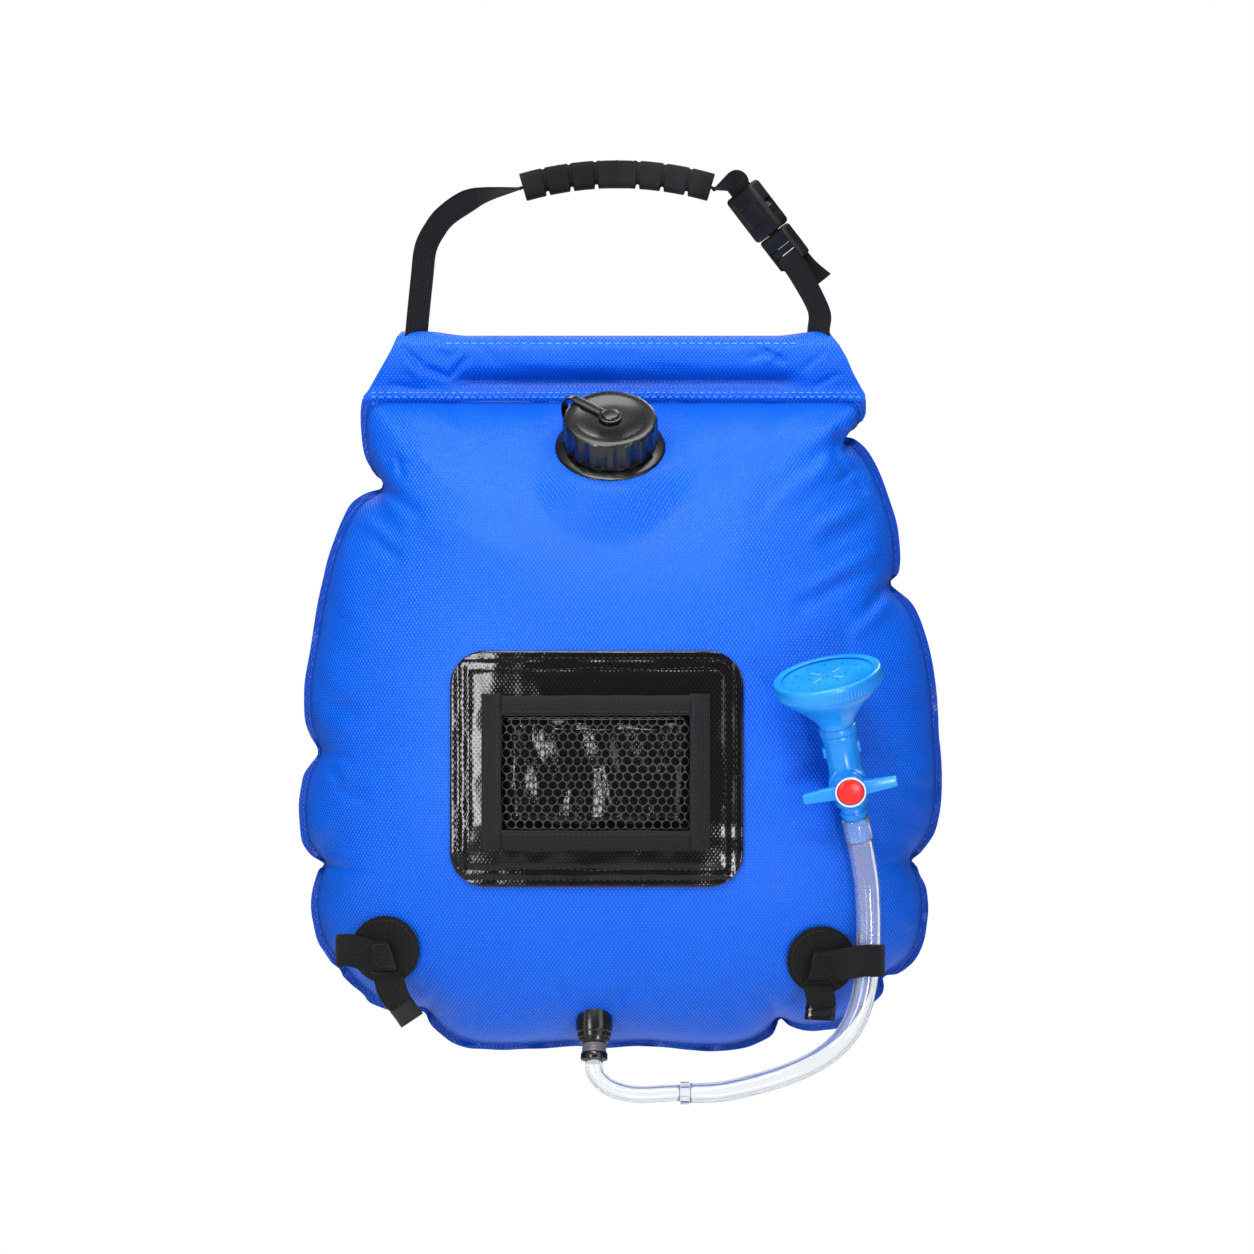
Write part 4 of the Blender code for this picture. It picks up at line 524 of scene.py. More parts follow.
# Creases and ridges that run in from the notches, as folds() reads them
FRONT_FOLDS = [
    (383, 486, 424, 520, 4.5, 7, "open"), (394, 462, 382, 470, 2.0, 5, "both"), (380, 456, 412, 462, 1.8, 4, "both"),
    (402, 478, 396, 452, 1.6, 4, "both"), (366, 520, 398, 548, -1.6, 8, "both"), (372, 536, 402, 560, 1.6, 6, "both"),
    (318, 751, 356, 760, 3.5, 6, "open"), (322, 757, 344, 786, 1.6, 6, "both"), (325, 865, 362, 872, 3.5, 6, "open"),
    (340, 968, 362, 950, 2.2, 5, "open"), (425, 1011, 444, 984, 3.0, 6, "open"), (780, 1018, 762, 986, 3.4, 7, "open"),
    (884, 980, 862, 966, 2.6, 6, "open"), (911, 861, 876, 869, 3.6, 7, "open"), (890, 583, 860, 622, 4.4, 7, "open"),
    (890, 584, 866, 596, 2.0, 5, "open"), (842, 436, 830, 474, 3.0, 7, "open"), (842, 438, 800, 470, 3.4, 9, "open"),
    (832, 446, 852, 484, 2.0, 5, "both"), (852, 478, 868, 494, 2.2, 4, "both"), (856, 468, 836, 484, 1.6, 4, "both"),
    (884, 548, 806, 594, -2.0, 9, "both"), (868, 566, 790, 612, 2.0, 9, "both"), (872, 516, 820, 548, 1.8, 9, "both"),
    (862, 504, 806, 536, -1.4, 8, "both"), (846, 452, 770, 508, -1.8, 10, "both"), (890, 600, 850, 640, -1.8, 8, "both"),
    (330, 790, 372, 800, 1.2, 8, "both"), (322, 705, 360, 712, 1.0, 9, "both"), (470, 1036, 476, 1000, 2.2, 8, "open"),
    (540, 1040, 536, 1008, 1.6, 9, "open"), (650, 1042, 652, 1008, 1.8, 9, "open"), (706, 1044, 700, 1006, 1.8, 9, "open"),
    (574, 1004, 560, 980, 2.0, 6, "both"), (616, 1004, 630, 984, 2.0, 6, "both"), (930, 790, 900, 786, 1.4, 8, "open"),
    (936, 700, 902, 706, 1.4, 9, "open"), (924, 910, 896, 906, 1.6, 8, "open"), (314, 630, 344, 640, 1.2, 9, "open"),
    (450, 404, 462, 430, 1.4, 8, "open"), (540, 404, 536, 426, 1.2, 7, "open"), (690, 404, 694, 430, 1.4, 8, "open"),
    (770, 402, 764, 432, 1.6, 8, "open"), (716, 500, 800, 470, -1.0, 16, "both"), (420, 520, 520, 560, -1.0, 18, "both"),
]
FILLER_PLACE = Vector((-0.0064, -0.047261, -0.1566))
FILLER_AXIS = Vector((0, -0.615662, 0.788011))
OUTLET_PLACE = Vector((-0.016, -0.039781, -0.4975))
OUTLET_AXIS = Vector((0, -0.2079, -0.9781))


def frame_on(origin, axis, side=X):
    side = (side - axis * side.dot(axis)).normalized()
    turn = Matrix((side, axis.cross(side), axis)).transposed().to_4x4()
    return Matrix.Translation(origin) @ turn


def edge_ring(count):
    corners = [photo_point(*p) for p in EDGE]
    ring = smooth_path(corners[-2:] + corners + corners[:3], 6)[12:-12]
    return np.array([(p.x, p.z) for p in even_path(ring, route_length(ring) / count)[:count]])


def softened(ring, reach):
    """The closed ring with its corners rounded over a reach, in points."""
    waves = np.fft.fftfreq(len(ring))
    weight = np.exp(-2 * (pi * waves * reach) ** 2)
    return np.real(np.fft.ifft(np.fft.fft(ring, axis=0) * weight[:, None], axis=0))


def film_sheet(name, side, depth, lines, steps=640, rings=84):
    """A dished wall from the weld to the crown, with its creases."""
    edge = edge_ring(steps)
    pitch = np.linalg.norm(edge[1] - edge[0])
    centre = np.array((0.0, -BAG_TOP - BAG_HEIGHT / 2))
    points, weld = [], []
    for k in range(rings):
        share = (k / rings) ** 1.6
        reach = 0.060 * (1 - np.exp(-share / 0.22)) / pitch
        flat = centre + (softened(edge, reach) - centre) * (1 - share)
        inside = max(0, (share - WELD_SHARE) / (1 - WELD_SHARE))
        dome = sqrt(1 - (1 - inside) ** 2.6)
        height = (-BAG_TOP - flat[:, 1]) / BAG_HEIGHT
        rise = depth * dome * (1 + 0.08 * (2 * height - 1))
        along = np.arange(steps) * pitch
        pucker = np.array([noise.noise(Vector((a * 62, 3.1 + side, share * 9))) for a in along])
        rise = rise + pucker * 0.0034 * np.exp(-inside / 0.10) * min(1, inside / 0.012)
        points.append(np.stack([flat[:, 0], side * (RIM_DEPTH + rise), flat[:, 1]], 1))
        weld += [1 - ease(share, WELD_SHARE * 0.9, WELD_SHARE * 1.5)] * steps
    crown = np.array([[centre[0], side * (RIM_DEPTH + depth), centre[1]]])
    cloth = flat_pattern(points, crown[0])
    points = np.concatenate(points + [crown])
    weld.append(0.0)
    if lines:
        points[:, 1] += folds(photo_pixels(points), lines) * 1.8
        points = seat_filler(points)
        points = clear_of_hose(points)
    faces = grid_faces(rings, steps, wrap=True)
    last = (rings - 1) * steps
    faces += [(last + k, last + (k + 1) % steps, rings * steps) for k in range(steps)]
    made = new_mesh(name, points, faces)
    bm = bmesh.new()
    bm.from_mesh(made.data)
    bm.faces.ensure_lookup_table()
    bmesh.ops.recalc_face_normals(bm, faces=bm.faces)
    if bm.faces[-1].normal.y * side < 0:
        bmesh.ops.reverse_faces(bm, faces=bm.faces)
    bm.to_mesh(made.data)
    bm.free()
    mark = made.data.attributes.new("weld", "FLOAT", "POINT")
    mark.data.foreach_set("value", weld)
    set_uv(made, cloth)
    return made


def flat_pattern(rings, crown):
    """Where each point lay before the bag was filled: the same way out from the crown, as far as the film runs."""
    way = np.zeros(len(rings[0]))
    out = []
    before = np.repeat(crown[None], len(rings[0]), axis=0)
    for ring in reversed(rings):
        way = way + np.linalg.norm(ring - before, axis=1)
        aim = ring[:, [0, 2]] - crown[[0, 2]]
        aim /= np.linalg.norm(aim, axis=1)[:, None]
        out.append(aim * way[:, None])
        before = ring
    return [tuple(p) for ring in reversed(out) for p in ring] + [(0.0, 0.0)]


def seat_filler(points):
    """Draws the film flat under the filler's flange."""
    axis = np.array(FILLER_AXIS)
    away = points - np.array(FILLER_PLACE)
    height = away @ axis
    radius = np.linalg.norm(away - height[:, None] * axis, axis=1)
    hold = (1 - ease(radius, 0.031, 0.058)) * (np.abs(height) < 0.03)
    return points + (hold * (0.0005 - height))[:, None] * axis


def clear_of_hose(points):
    """Dents the film behind the hose, and where the shower head lies on it."""
    path = even_path(smooth_path(HOSE_UPPER_ROUTE, 6), 4 * MM)
    deep = points[:, 1].copy()
    for spot in path:
        off = np.linalg.norm(points[:, [0, 2]] - np.array((spot.x, spot.z)), axis=1)
        limit = spot.y + 0.0086 - off**2 / 0.028
        deep = np.where(off < 0.014, np.maximum(deep, limit), deep)
    points[:, 1] = deep
    return points


def open_film(obj, place, axis, radius):
    """Cuts the film away inside a round fitting."""
    bm = bmesh.new()
    bm.from_mesh(obj.data)
    gone = []
    for v in bm.verts:
        away = v.co - place
        height = away.dot(axis)
        if abs(height) < 0.02 and (away - axis * height).length < radius:
            gone.append(v)
    bmesh.ops.delete(bm, geom=gone, context="VERTS")
    bm.to_mesh(obj.data)
    bm.free()


def add_bag():
    """Front and back walls; gives the front's surface for what lies on it."""
    front = film_sheet("film_front", -1, FRONT_BULGE, FRONT_FOLDS)
    bm = bmesh.new()
    bm.from_mesh(front.data)
    tree = BVHTree.FromBMesh(bm)
    bm.free()
    open_film(front, FILLER_PLACE, FILLER_AXIS, 0.0225)
    back = film_sheet("film_back", 1, BACK_BULGE, None)
    for wall, node in ((front, "front_panel"), (back, "back_panel")):
        apply_modifier(wall, "SOLIDIFY", thickness=FILM, offset=-1, use_quality_normals=True)
        finished(wall, "bag", "blue_film", [node])
        wall.data.shade_smooth()
    return tree


# ---------------------------------------------------------------- modelling steps
def placed(obj, frame):
    if frame is not None:
        obj.data.transform(frame)
    obj.data.update()
    return obj


def pick(obj):
    bpy.ops.object.select_all(action="DESELECT")
    bpy.context.view_layer.objects.active = obj
    obj.select_set(True)


def bevelled(obj, width, segments=2, angle=35):
    """Rounds the sharp edges; width in millimetres."""
    if width:
        apply_modifier(obj, "BEVEL", width=width * MM, segments=segments, limit_method="ANGLE", angle_limit=radians(angle), use_clamp_overlap=True)
    return obj


def turned(name, profile, bevel=0.0, steps=96, frame=None):
    """A closed (radius, height) outline in millimetres, spun about Z."""
    mesh = bpy.data.meshes.new(name)
    count = len(profile)
    mesh.from_pydata([(r * MM, 0, h * MM) for r, h in profile], [(k, (k + 1) % count) for k in range(count)], [])
    made = bpy.data.objects.new(name, mesh)
    bpy.context.scene.collection.objects.link(made)
    pick(made)
    bpy.ops.object.mode_set(mode="EDIT")
    bpy.ops.mesh.select_all(action="SELECT")
    bpy.ops.mesh.spin(steps=steps, angle=2 * pi, center=(0, 0, 0), axis=(0, 0, 1))
    bpy.ops.mesh.select_all(action="SELECT")
    bpy.ops.mesh.remove_doubles(threshold=0.000005)
    bpy.ops.mesh.normals_make_consistent(inside=False)
    bpy.ops.object.mode_set(mode="OBJECT")
    bevelled(made, bevel)
    return placed(made, frame)


def box(name, size, centre, bevel=0.0, segments=3, frame=None):
    bpy.ops.mesh.primitive_cube_add(size=1, location=[c * MM for c in centre])
    made = bpy.context.object
    made.name = name
    made.scale = [s * MM for s in size]
    bpy.ops.object.transform_apply(location=True, rotation=True, scale=True)
    bevelled(made, bevel, segments)
    return placed(made, frame)


def bar(name, radius, low, high, sides=48, frame=None, place=(0, 0), bevel=0.0):
    """A round bar along Z between two heights, in millimetres."""
    bpy.ops.mesh.primitive_cylinder_add(vertices=sides, radius=radius * MM, depth=(high - low) * MM, location=(place[0] * MM, place[1] * MM, (low + high) / 2 * MM))
    made = bpy.context.object
    made.name = name
    bpy.ops.object.transform_apply(location=True, rotation=True, scale=True)
    bevelled(made, bevel)
    return placed(made, frame)


def combine(target, tool, operation="DIFFERENCE"):
    apply_modifier(target, "BOOLEAN", operation=operation, object=tool, solver="EXACT")
    bpy.data.objects.remove(tool, do_unlink=True)
    return target


def joined(name, pieces):
    pick(pieces[0])
    for piece in pieces[1:]:
        piece.select_set(True)
    bpy.ops.object.join()
    bpy.context.object.name = name
    return bpy.context.object


def surface_of(obj):
    bm = bmesh.new()
    bm.from_mesh(obj.data)
    tree = BVHTree.FromBMesh(bm)
    bm.free()
    return tree


def strap_mesh(name, path, sides, width, thick, columns=10):
    """Webbing along a path: round selvedges, u across and v along in metres."""
    points, pairs, way = [], [], 0.0
    for k, (point, side) in enumerate(zip(path, sides)):
        ahead = (path[min(k + 1, len(path) - 1)] - path[max(k - 1, 0)]).normalized()
        side = (side - ahead * side.dot(ahead)).normalized()
        normal = ahead.cross(side)
        way += (point - path[k - 1]).length if k else 0
        for turn in range(2 * columns):
            share = turn / columns if turn <= columns else 2 - turn / columns
            across = 2 * share - 1
            lift = (1 if turn <= columns else -1) * (0.5 * thick) * max(0.25, (1 - abs(across) ** 8) ** 0.5)
            if turn in (0, columns):
                lift = 0
            points.append(point + side * (across * width / 2) + normal * lift)
            pairs.append((turn / columns * width, way))
    made = new_mesh(name, points, grid_faces(len(path), 2 * columns, wrap=True))
    ring = 2 * columns
    bm = bmesh.new()
    bm.from_mesh(made.data)
    bm.verts.ensure_lookup_table()
    last = (len(path) - 1) * ring
    bm.faces.new([bm.verts[k] for k in range(ring)])
    bm.faces.new([bm.verts[last + k] for k in reversed(range(ring))])
    bmesh.ops.recalc_face_normals(bm, faces=bm.faces)
    bm.to_mesh(made.data)
    bm.free()
    layer = made.data.uv_layers.new(name="cloth")
    for face in made.data.polygons:
        us = [pairs[v][0] for v in face.vertices]
        seam = max(us) - min(us) > width
        for loop, v in zip(face.loop_indices, face.vertices):
            u, along = pairs[v]
            layer.data[loop].uv = (u + 2 * width if seam and u < width / 2 else u, along)
    return made


def sewn(path, sides, parts):
    """Finer points and width directions of a strap's path."""
    fine = smooth_path(path, parts)
    return fine, [v.normalized() for v in smooth_path(sides, parts)]


def stitch_spots(cast, corners, length=2.4, gap=1.5):
    """Start, end and normal of each stitch along a flat line that cast() puts on a surface."""
    line = [Vector((a, b, 0)) for a, b in corners]
    spots = even_path(line, 0.0004 if max(abs(v.x) for v in line) < 2 else 0.7)
    out, start, way, before = [], None, 0.0, None
    for flat in spots:
        hit = cast(flat.x, flat.y)
        if hit is None:
            start = before = None
            continue
        spot, normal = hit
        if before is not None:
            way += (spot - before).length
        if start is None or way > (length + gap) * MM:
            start, way, first = spot, 0.0, normal
            done = False
        elif not done and way >= length * MM:
            out.append((start, spot, (first + normal).normalized()))
            done = True
        before = spot
    return out


def thread_mesh(name, spots, radius=0.30):
    points, faces = [], []
    radius *= MM
    for start, end, normal in spots:
        along = (end - start).normalized()
        across = along.cross(normal).normalized()
        first = len(points)
        for share, size in ((0, 0.45), (0.15, 1.0), (0.85, 1.0), (1, 0.45)):
            middle = start.lerp(end, share) + normal * radius * (0.5 if 0 < share < 1 else 0.1)
            for k in range(6):
                turn = 2 * pi * k / 6
                points.append(middle + (across * cos(turn) + normal * (sin(turn) * 0.8)) * radius * size)
        faces += [tuple(first + v for v in face) for face in grid_faces(4, 6, wrap=True)]
        faces += [tuple(first + k for k in range(6)), tuple(first + 23 - k for k in range(6))]
    made = new_mesh(name, points, faces)
    outward(made)
    made.data.shade_smooth()
    return made


def cast_down(*trees, lift=0.0):
    """Puts (x, z) on the foremost of the surfaces, seen from the front."""
    def cast(x, z):
        best = None
        for tree in trees:
            spot, normal, _, _ = tree.ray_cast(Vector((x, -0.5, z)), Y)
            if spot is not None and (best is None or spot.y < best[0].y):
                best = (spot - Y * lift, -normal if normal.y > 0 else normal)
        return best
    return cast


def cast_pixels(*trees):
    """Puts a pixel of the photograph on the foremost of the surfaces."""
    eye = Vector((VIEW_X, -VIEW_DISTANCE, VIEW_Z))
    def cast(px, py):
        way = (photo_point(px, py) - eye).normalized()
        best = None
        for tree in trees:
            spot, normal, _, far = tree.ray_cast(eye, way)
            if spot is not None and (best is None or far < best[2]):
                best = (spot, -normal if normal.dot(way) > 0 else normal, far)
        return best and best[:2]
    return cast


# ---------------------------------------------------------------- header
HEADER_LEFT = [(331, 402), (337, 397), (350, 391.5), (364, 383.5), (377, 376), (390, 368.5), (396, 363.5), (406, 362.5)]
HEADER_RIGHT = [(331, 829), (335, 831), (345, 839), (359, 847), (371, 852), (384, 859), (394, 865), (406, 866)]
HEADER_FOLDS = [
    (401, 346, 426, 370, 2.4, 4, "both"), (424, 367, 452, 379, 3.0, 4, "both"), (450, 377, 469, 355, 2.4, 4, "both"),
    (434, 345, 456, 351, -1.8, 5, "both"), (404, 362, 422, 382, -1.2, 5, "both"), (757, 347, 788, 363, 2.0, 4, "both"),
    (764, 365, 784, 345, -1.4, 4, "both"), (744, 360, 770, 352, 1.4, 4, "both"), (800, 372, 826, 350, 1.4, 4, "both"),
    (812, 388, 842, 372, 1.4, 4, "both"), (388, 384, 430, 392, 1.4, 4, "both"), (640, 366, 700, 372, 0.8, 5, "both"),
    (500, 368, 580, 374, 0.7, 5, "both"), (560, 344, 640, 348, -0.6, 6, "both"), (476, 340, 500, 366, 0.9, 5, "both"),
]


def header_section():
    """Half of the header's section from its foot to the top of the roll, as (depth, height) outside and inside."""
    halves = []
    for wall in (0, 0.001):
        leg, radius, foot, roll = 0.00275 - wall, 0.010 - wall, -0.1284, -0.096
        corners = [(leg, foot), (leg, foot + 0.006), (leg + 0.0004, foot + 0.0095), (0.0062 - wall, -0.1125), (0.0092 - wall, -0.1045)]
        corners += [(radius * cos(radians(a)), roll + radius * sin(radians(a))) for a in (0, 30, 60, 90)]
        halves.append([(p.x, p.y) for p in smooth_path([(y, z, 0) for y, z in corners], 7)])
    return halves


def add_header(columns=440):
    outer, inner = header_section()
    section = [(-y, z) for y, z in outer] + outer[-2::-1] + inner + [(-y, z) for y, z in inner[-2::-1]]
    rows = len(section)
    points, way = np.zeros((columns, rows, 3)), [0.0]
    for (a, b), (c, d) in zip(section, section[1:]):
        way.append(way[-1] + sqrt((c - a) ** 2 + (d - b) ** 2))
    for i, (y, z) in enumerate(section):
        row = PHOTO_MIDDLE - (z - VIEW_Z) / PIXEL
        ends = [photo_point(np.interp(row, *zip(*side)), row).x for side in (HEADER_LEFT, HEADER_RIGHT)]
        x = np.linspace(*ends, columns)
        roll = ease(np.full(columns, z), -0.108, -0.088)
        sag = -0.0026 * ease(np.abs(x - 0.0006) * -1, -0.118, -0.092) * roll
        soft = np.array([noise.noise(Vector((a * 28, z * 40, 5.5 + (y > 0)))) for a in x]) * 0.0008
        points[:, i] = np.stack([x, np.full(columns, y) + soft, z + sag], 1)
    flat = points.reshape(-1, 3)
    front = flat[:, 1] < 0.0002
    pixels = photo_pixels(flat)
    press = folds(pixels, HEADER_FOLDS) * 1.3 + 0.0012 * np.exp(-(((pixels[:, 1] - 402) / 3) ** 2))
    # under: the band below the roll, pressed in and also coloured darker as painted shade.
    under = ease(pixels[:, 0], 440, 475) * (1 - ease(pixels[:, 0], 775, 810)) * np.exp(-(((pixels[:, 1] - 380) / 8) ** 2))
    flat[:, 1] += (press + 0.0042 * under) * front
    faces = grid_faces(columns, rows, wrap=True)
    half = rows // 2
    for first in (0, (columns - 1) * rows):
        faces += [(first + k, first + k + 1, first + rows - 2 - k, first + rows - 1 - k) for k in range(half - 1)]
    made = new_mesh("header_roll", flat, faces)
    outward(made)
    set_uv(made, [(p[0], way[k % rows]) for k, p in enumerate(flat)])
    # Painted shade: the band under the roll takes the darker weld colour.
    made.data.attributes.new("weld", "FLOAT", "POINT").data.foreach_set("value", under * front)
    finished(made, "bag", "blue_film", ["top_sleeve"]).data.shade_smooth()
    cast = cast_pixels(surface_of(made))
    spots = stitch_spots(cast, [(446, 343.5), (798, 343.5)], 3.0, 1.8)
    for row in (392.5, 397.0):
        spots += stitch_spots(cast, [(371, row), (460, row + 0.4), (790, row), (861, row)], 2.6, 1.6)
    finished(thread_mesh("header_stitches", spots, 0.40), "bag", "blue_film", finish="blue_thread")
    node = frame["nodes"]["stiffener_rod"]
    corners = [node.matrix_world @ Vector(c) for c in node.bound_box]
    half = (max(c.x for c in corners) - min(c.x for c in corners)) / 2 / MM
    lie = Matrix.Translation(sum(corners, Vector()) / 8 - Z * 0.0014) @ Matrix.Rotation(pi / 2, 4, "Y")
    rod = turned("header_rod", [(4.9, -half), (6.4, -half), (6.4, half), (4.9, half)], 0.3, 64, lie)
    rod_slot = next(part["material_slot"] for part in frame["record"]["subparts"] if part["node"] == "stiffener_rod")
    finished(rod, "bag", rod_slot, ["stiffener_rod"], smooth=40)


# ---------------------------------------------------------------- filler and cap
FILLER = frame_on(FILLER_PLACE, FILLER_AXIS)
CAP_TOP, CAP_FOOT, CAP_RADIUS = 22.6, 4.6, 28.3


def add_filler():
    flange = [(20.5, 18.2), (22.7, 18.2), (22.7, 2.2), (28.6, 2.2), (29.0, 2.0), (31.8, 1.9), (33.0, 1.0), (33.0, -21.8), (31.0, -21.8), (31.0, 0), (20.5, 0)]
    neck = turned("filler_flange", flange, 0.25, 128)
    helix = [Vector((0.0229 * cos(a / 40), 0.0229 * sin(a / 40), 0.0065 + 0.004 * a / 40 / (2 * pi))) for a in range(0, 620)]
    neck = joined("filler_flange", [neck, strap_mesh("thread", helix, [Z] * len(helix), 0.0013, 0.0011, 3)])
    finished(placed(neck, FILLER), "bag", "black_moulding", ["filler_neck"], smooth=35)
    profile = [
        (0, 25.9), (3.9, 25.8), (5.0, 25.5), (5.4, 25.1), (5.4, 24.8), (3.8, 24.8), (3.8, 22.1), (19.6, 22.1), (20.6, 22.6),
        (25.9, 22.6), (27.3, 22.0), (28.1, 20.9), (28.3, 19.6), (28.3, 5.1), (27.8, 4.6), (23.8, 4.6), (23.8, 20.4), (0, 20.4),
    ]
    cap = turned("screw_cap", profile, 0.0, 144)
    cutters = []
    for k in range(16):
        turn = 2 * pi * (k + 0.5) / 16
        cutters.append(bar("scallop", 9.0, 2, 26, 40, place=(36.1 * cos(turn), 36.1 * sin(turn))))
    combine(cap, joined("scallops", cutters))
    bevelled(cap, 0.6, 3, 30)
    finished(placed(cap, FILLER), "cap", "black_moulding", ["filler_cap"], smooth=32)
    low = CAP_TOP + 0.3
    ring = turned("cap_strap", [(7, low), (4.1, low), (4.1, low + 1.6), (7, low + 1.6)], 0.3, 48)
    collar = turned("collar", [(26.6, 2.5), (23.8, 2.5), (23.8, 4.3), (26.6, 4.3)], 0.3, 96)
    heights = [(5.4, 23.7), (14, 23.7), (22.6, 23.7), (29.0, 23.3), (33.6, 20.5), (35.6, 14.2), (33.4, 5.4), (28.4, 3.4), (25.2, 3.4)]
    path = smooth_path([(-r * MM, 0, h * MM) for r, h in heights], 8)
    tongue = strap_mesh("tongue", path, [Y] * len(path), 0.0065, 0.00155, 6)
    placed(tongue, Matrix.Rotation(radians(-40), 4, "Z"))
    combine(ring, collar, "UNION")
    combine(ring, tongue, "UNION")
    finished(placed(ring, FILLER), "cap_keeper", "black_moulding", ["cap_tether"], smooth=35)


# ---------------------------------------------------------------- outlet
def add_outlet():
    frame = frame_on(OUTLET_PLACE, OUTLET_AXIS)
    spout = [(11, -16), (3, -16), (3, 5.7), (5.2, 5.7), (5.2, 14.5), (8.6, 14.5), (9.0, 14.0), (9.4, 11.6), (9.9, 11.2), (10.1, 8.4), (10.7, 8.0), (11, 5.8)]
    finished(turned("spout_boot", spout, 0.2, 72, frame), "bag", "black_moulding", ["outlet_spout"], smooth=30)
    nipple = [(4.9, 6), (3, 6), (3, 24.8), (5.9, 24.8), (5.9, 20.3), (7.2, 20.3), (7.4, 19.8), (6.9, 18.4), (7.4, 18.0), (6.9, 16.6), (7.4, 16.2), (7.4, 14.8), (4.9, 14.8)]
    finished(turned("hose_nipple", nipple, 0.1, 64, frame), "bag", "grey_moulding", ["outlet_nipple"], smooth=30)
    ring = turned("hose_ring", [(8, 24.8), (8, 20.6), (6.2, 20.6), (6.2, 24.8)], 0.5, 64)
    combine(ring, box("ear", (3.4, 4.4, 3.0), (0, -8.4, 22.7), 0.5), "UNION")
    finished(placed(ring, frame), "bag", "black_moulding", ["hose_clamp"], smooth=35)


# ---------------------------------------------------------------- shower head
HEAD_PLACE = Vector((0.141544, -0.078095, -0.389121))
HEAD_UP = Vector((-0.187, -0.317, 0.929807))
BOSS_OUT = Vector((0.062503, -0.948425, -0.310777))
LEVER_WAY = Vector((0.980369, 0, 0.197169))
VALVE_PLACE = Vector((0.13455, -0.089951, -0.354346))


def add_valve():
    head, cross = frame_on(HEAD_PLACE, HEAD_UP, LEVER_WAY), frame_on(VALVE_PLACE, BOSS_OUT, LEVER_WAY)
    profile = [(3.6, 0)]
    for k in range(3):
        foot = k * 4.73
        profile += [(6.0, foot), (6.9, foot + 3.6), (7.0, foot + 4.1)]
    profile += [
        (6.2, 14.2), (7.5, 14.3), (7.5, 16.2), (8.2, 16.6), (8.2, 18.0), (7.5, 18.4), (7.5, 21.4), (8.6, 22.6), (10, 23.4),
        (10, 26.4), (10.4, 26.8), (10.4, 28.2), (10, 28.6), (10, 64.2), (10.5, 64.6), (10.5, 67.6), (10, 68), (3.6, 68),
    ]
    body = turned("valve_case", profile, 0.15, 96, head)
    hood = bar("hood", 11.6, -2, 8.6, 72, cross, bevel=1.4)
    combine(body, hood, "UNION")
    combine(body, bar("boss", 9.6, 0, 15, 72, cross, bevel=0.5), "UNION")
    for side in (-1, 1):
        nub = box("nub", (2.4, 5.0, 7.0), (side * 10.2, 0, 57.5), 0.9, frame=head)
        combine(body, nub, "UNION")
    combine(body, bar("well", 6.3, -7, 19, 64, cross))
    bevelled(body, 0.25, 2, 40)
    finished(body, "bag", "light_blue_moulding", ["valve_body"], smooth=35)
    cuff = [(8.2, -0.2), (8.2, 12.6), (7.9, 13.2), (7.3, 13.2), (7.2, 12.6), (7.2, -0.2)]
    finished(turned("hose_cuff", cuff, 0.1, 64, head), "bag", "clear_hose", smooth=40)


def add_lever():
    cross = frame_on(VALVE_PLACE, BOSS_OUT, LEVER_WAY)
    profile = [
        (0, 21.3), (9.2, 21.3), (9.2, 15.3), (6, 15.3), (6, 10.4), (5, 10.4), (5, 9.0), (6, 9.0),
        (6, -6.7), (0, -6.7),
    ]
    lever = turned("tee_lever", profile, 0.0, 80)
    bpy.ops.mesh.primitive_cube_add(size=1, location=(0, 0, 17.8 * MM))
    wings = bpy.context.object
    wings.scale = (57 * MM, 8.4 * MM, 5.0 * MM)
    bpy.ops.object.transform_apply(location=True, rotation=True, scale=True)
    bm = bmesh.new()
    bm.from_mesh(wings.data)
    for side in (-1, 1):
        bmesh.ops.bisect_plane(bm, geom=bm.verts[:] + bm.edges[:] + bm.faces[:], plane_co=(side * 0.0092, 0, 0), plane_no=(1, 0, 0))
    for v in bm.verts:
        if abs(v.co.x) > 0.02:
            v.co.y *= 6.0 / 8.4
            v.co.z += 0.0006 if v.co.z < 0.0178 else -0.0003
    bm.to_mesh(wings.data)
    bm.free()
    bevelled(wings, 1.1, 3, 30)
    combine(lever, wings, "UNION")
    combine(lever, bar("seat", 8.3, 21.3, 26, 80))
    combine(lever, placed(bar("port", 3.6, -10, 10, 48), Matrix.Rotation(pi / 2, 4, "Y")))
    bevelled(lever, 0.3, 2, 40)
    finished(placed(lever, cross), "lever", "light_blue_moulding", ["valve_lever"], smooth=35)
    # The rim is light blue moulding; its pale colour is a painted highlight.
    rim = turned("button_rim", [(8.3, 21.35), (8.3, 22.9), (9.2, 22.9), (9.2, 21.35)], 0.2, 80, cross)
    finished(rim, "lever", "light_blue_moulding", finish="rim_painted_highlight", smooth=40)
    button = [(0, 23.5), (2.6, 23.42), (5.0, 23.15), (6.9, 22.7), (7.8, 22.2), (8.0, 21.8), (8.0, 21.6), (0, 21.6)]
    finished(turned("red_button", button, 0.0, 80, cross), "lever", "red_moulding", ["lever_badge"], smooth=50)


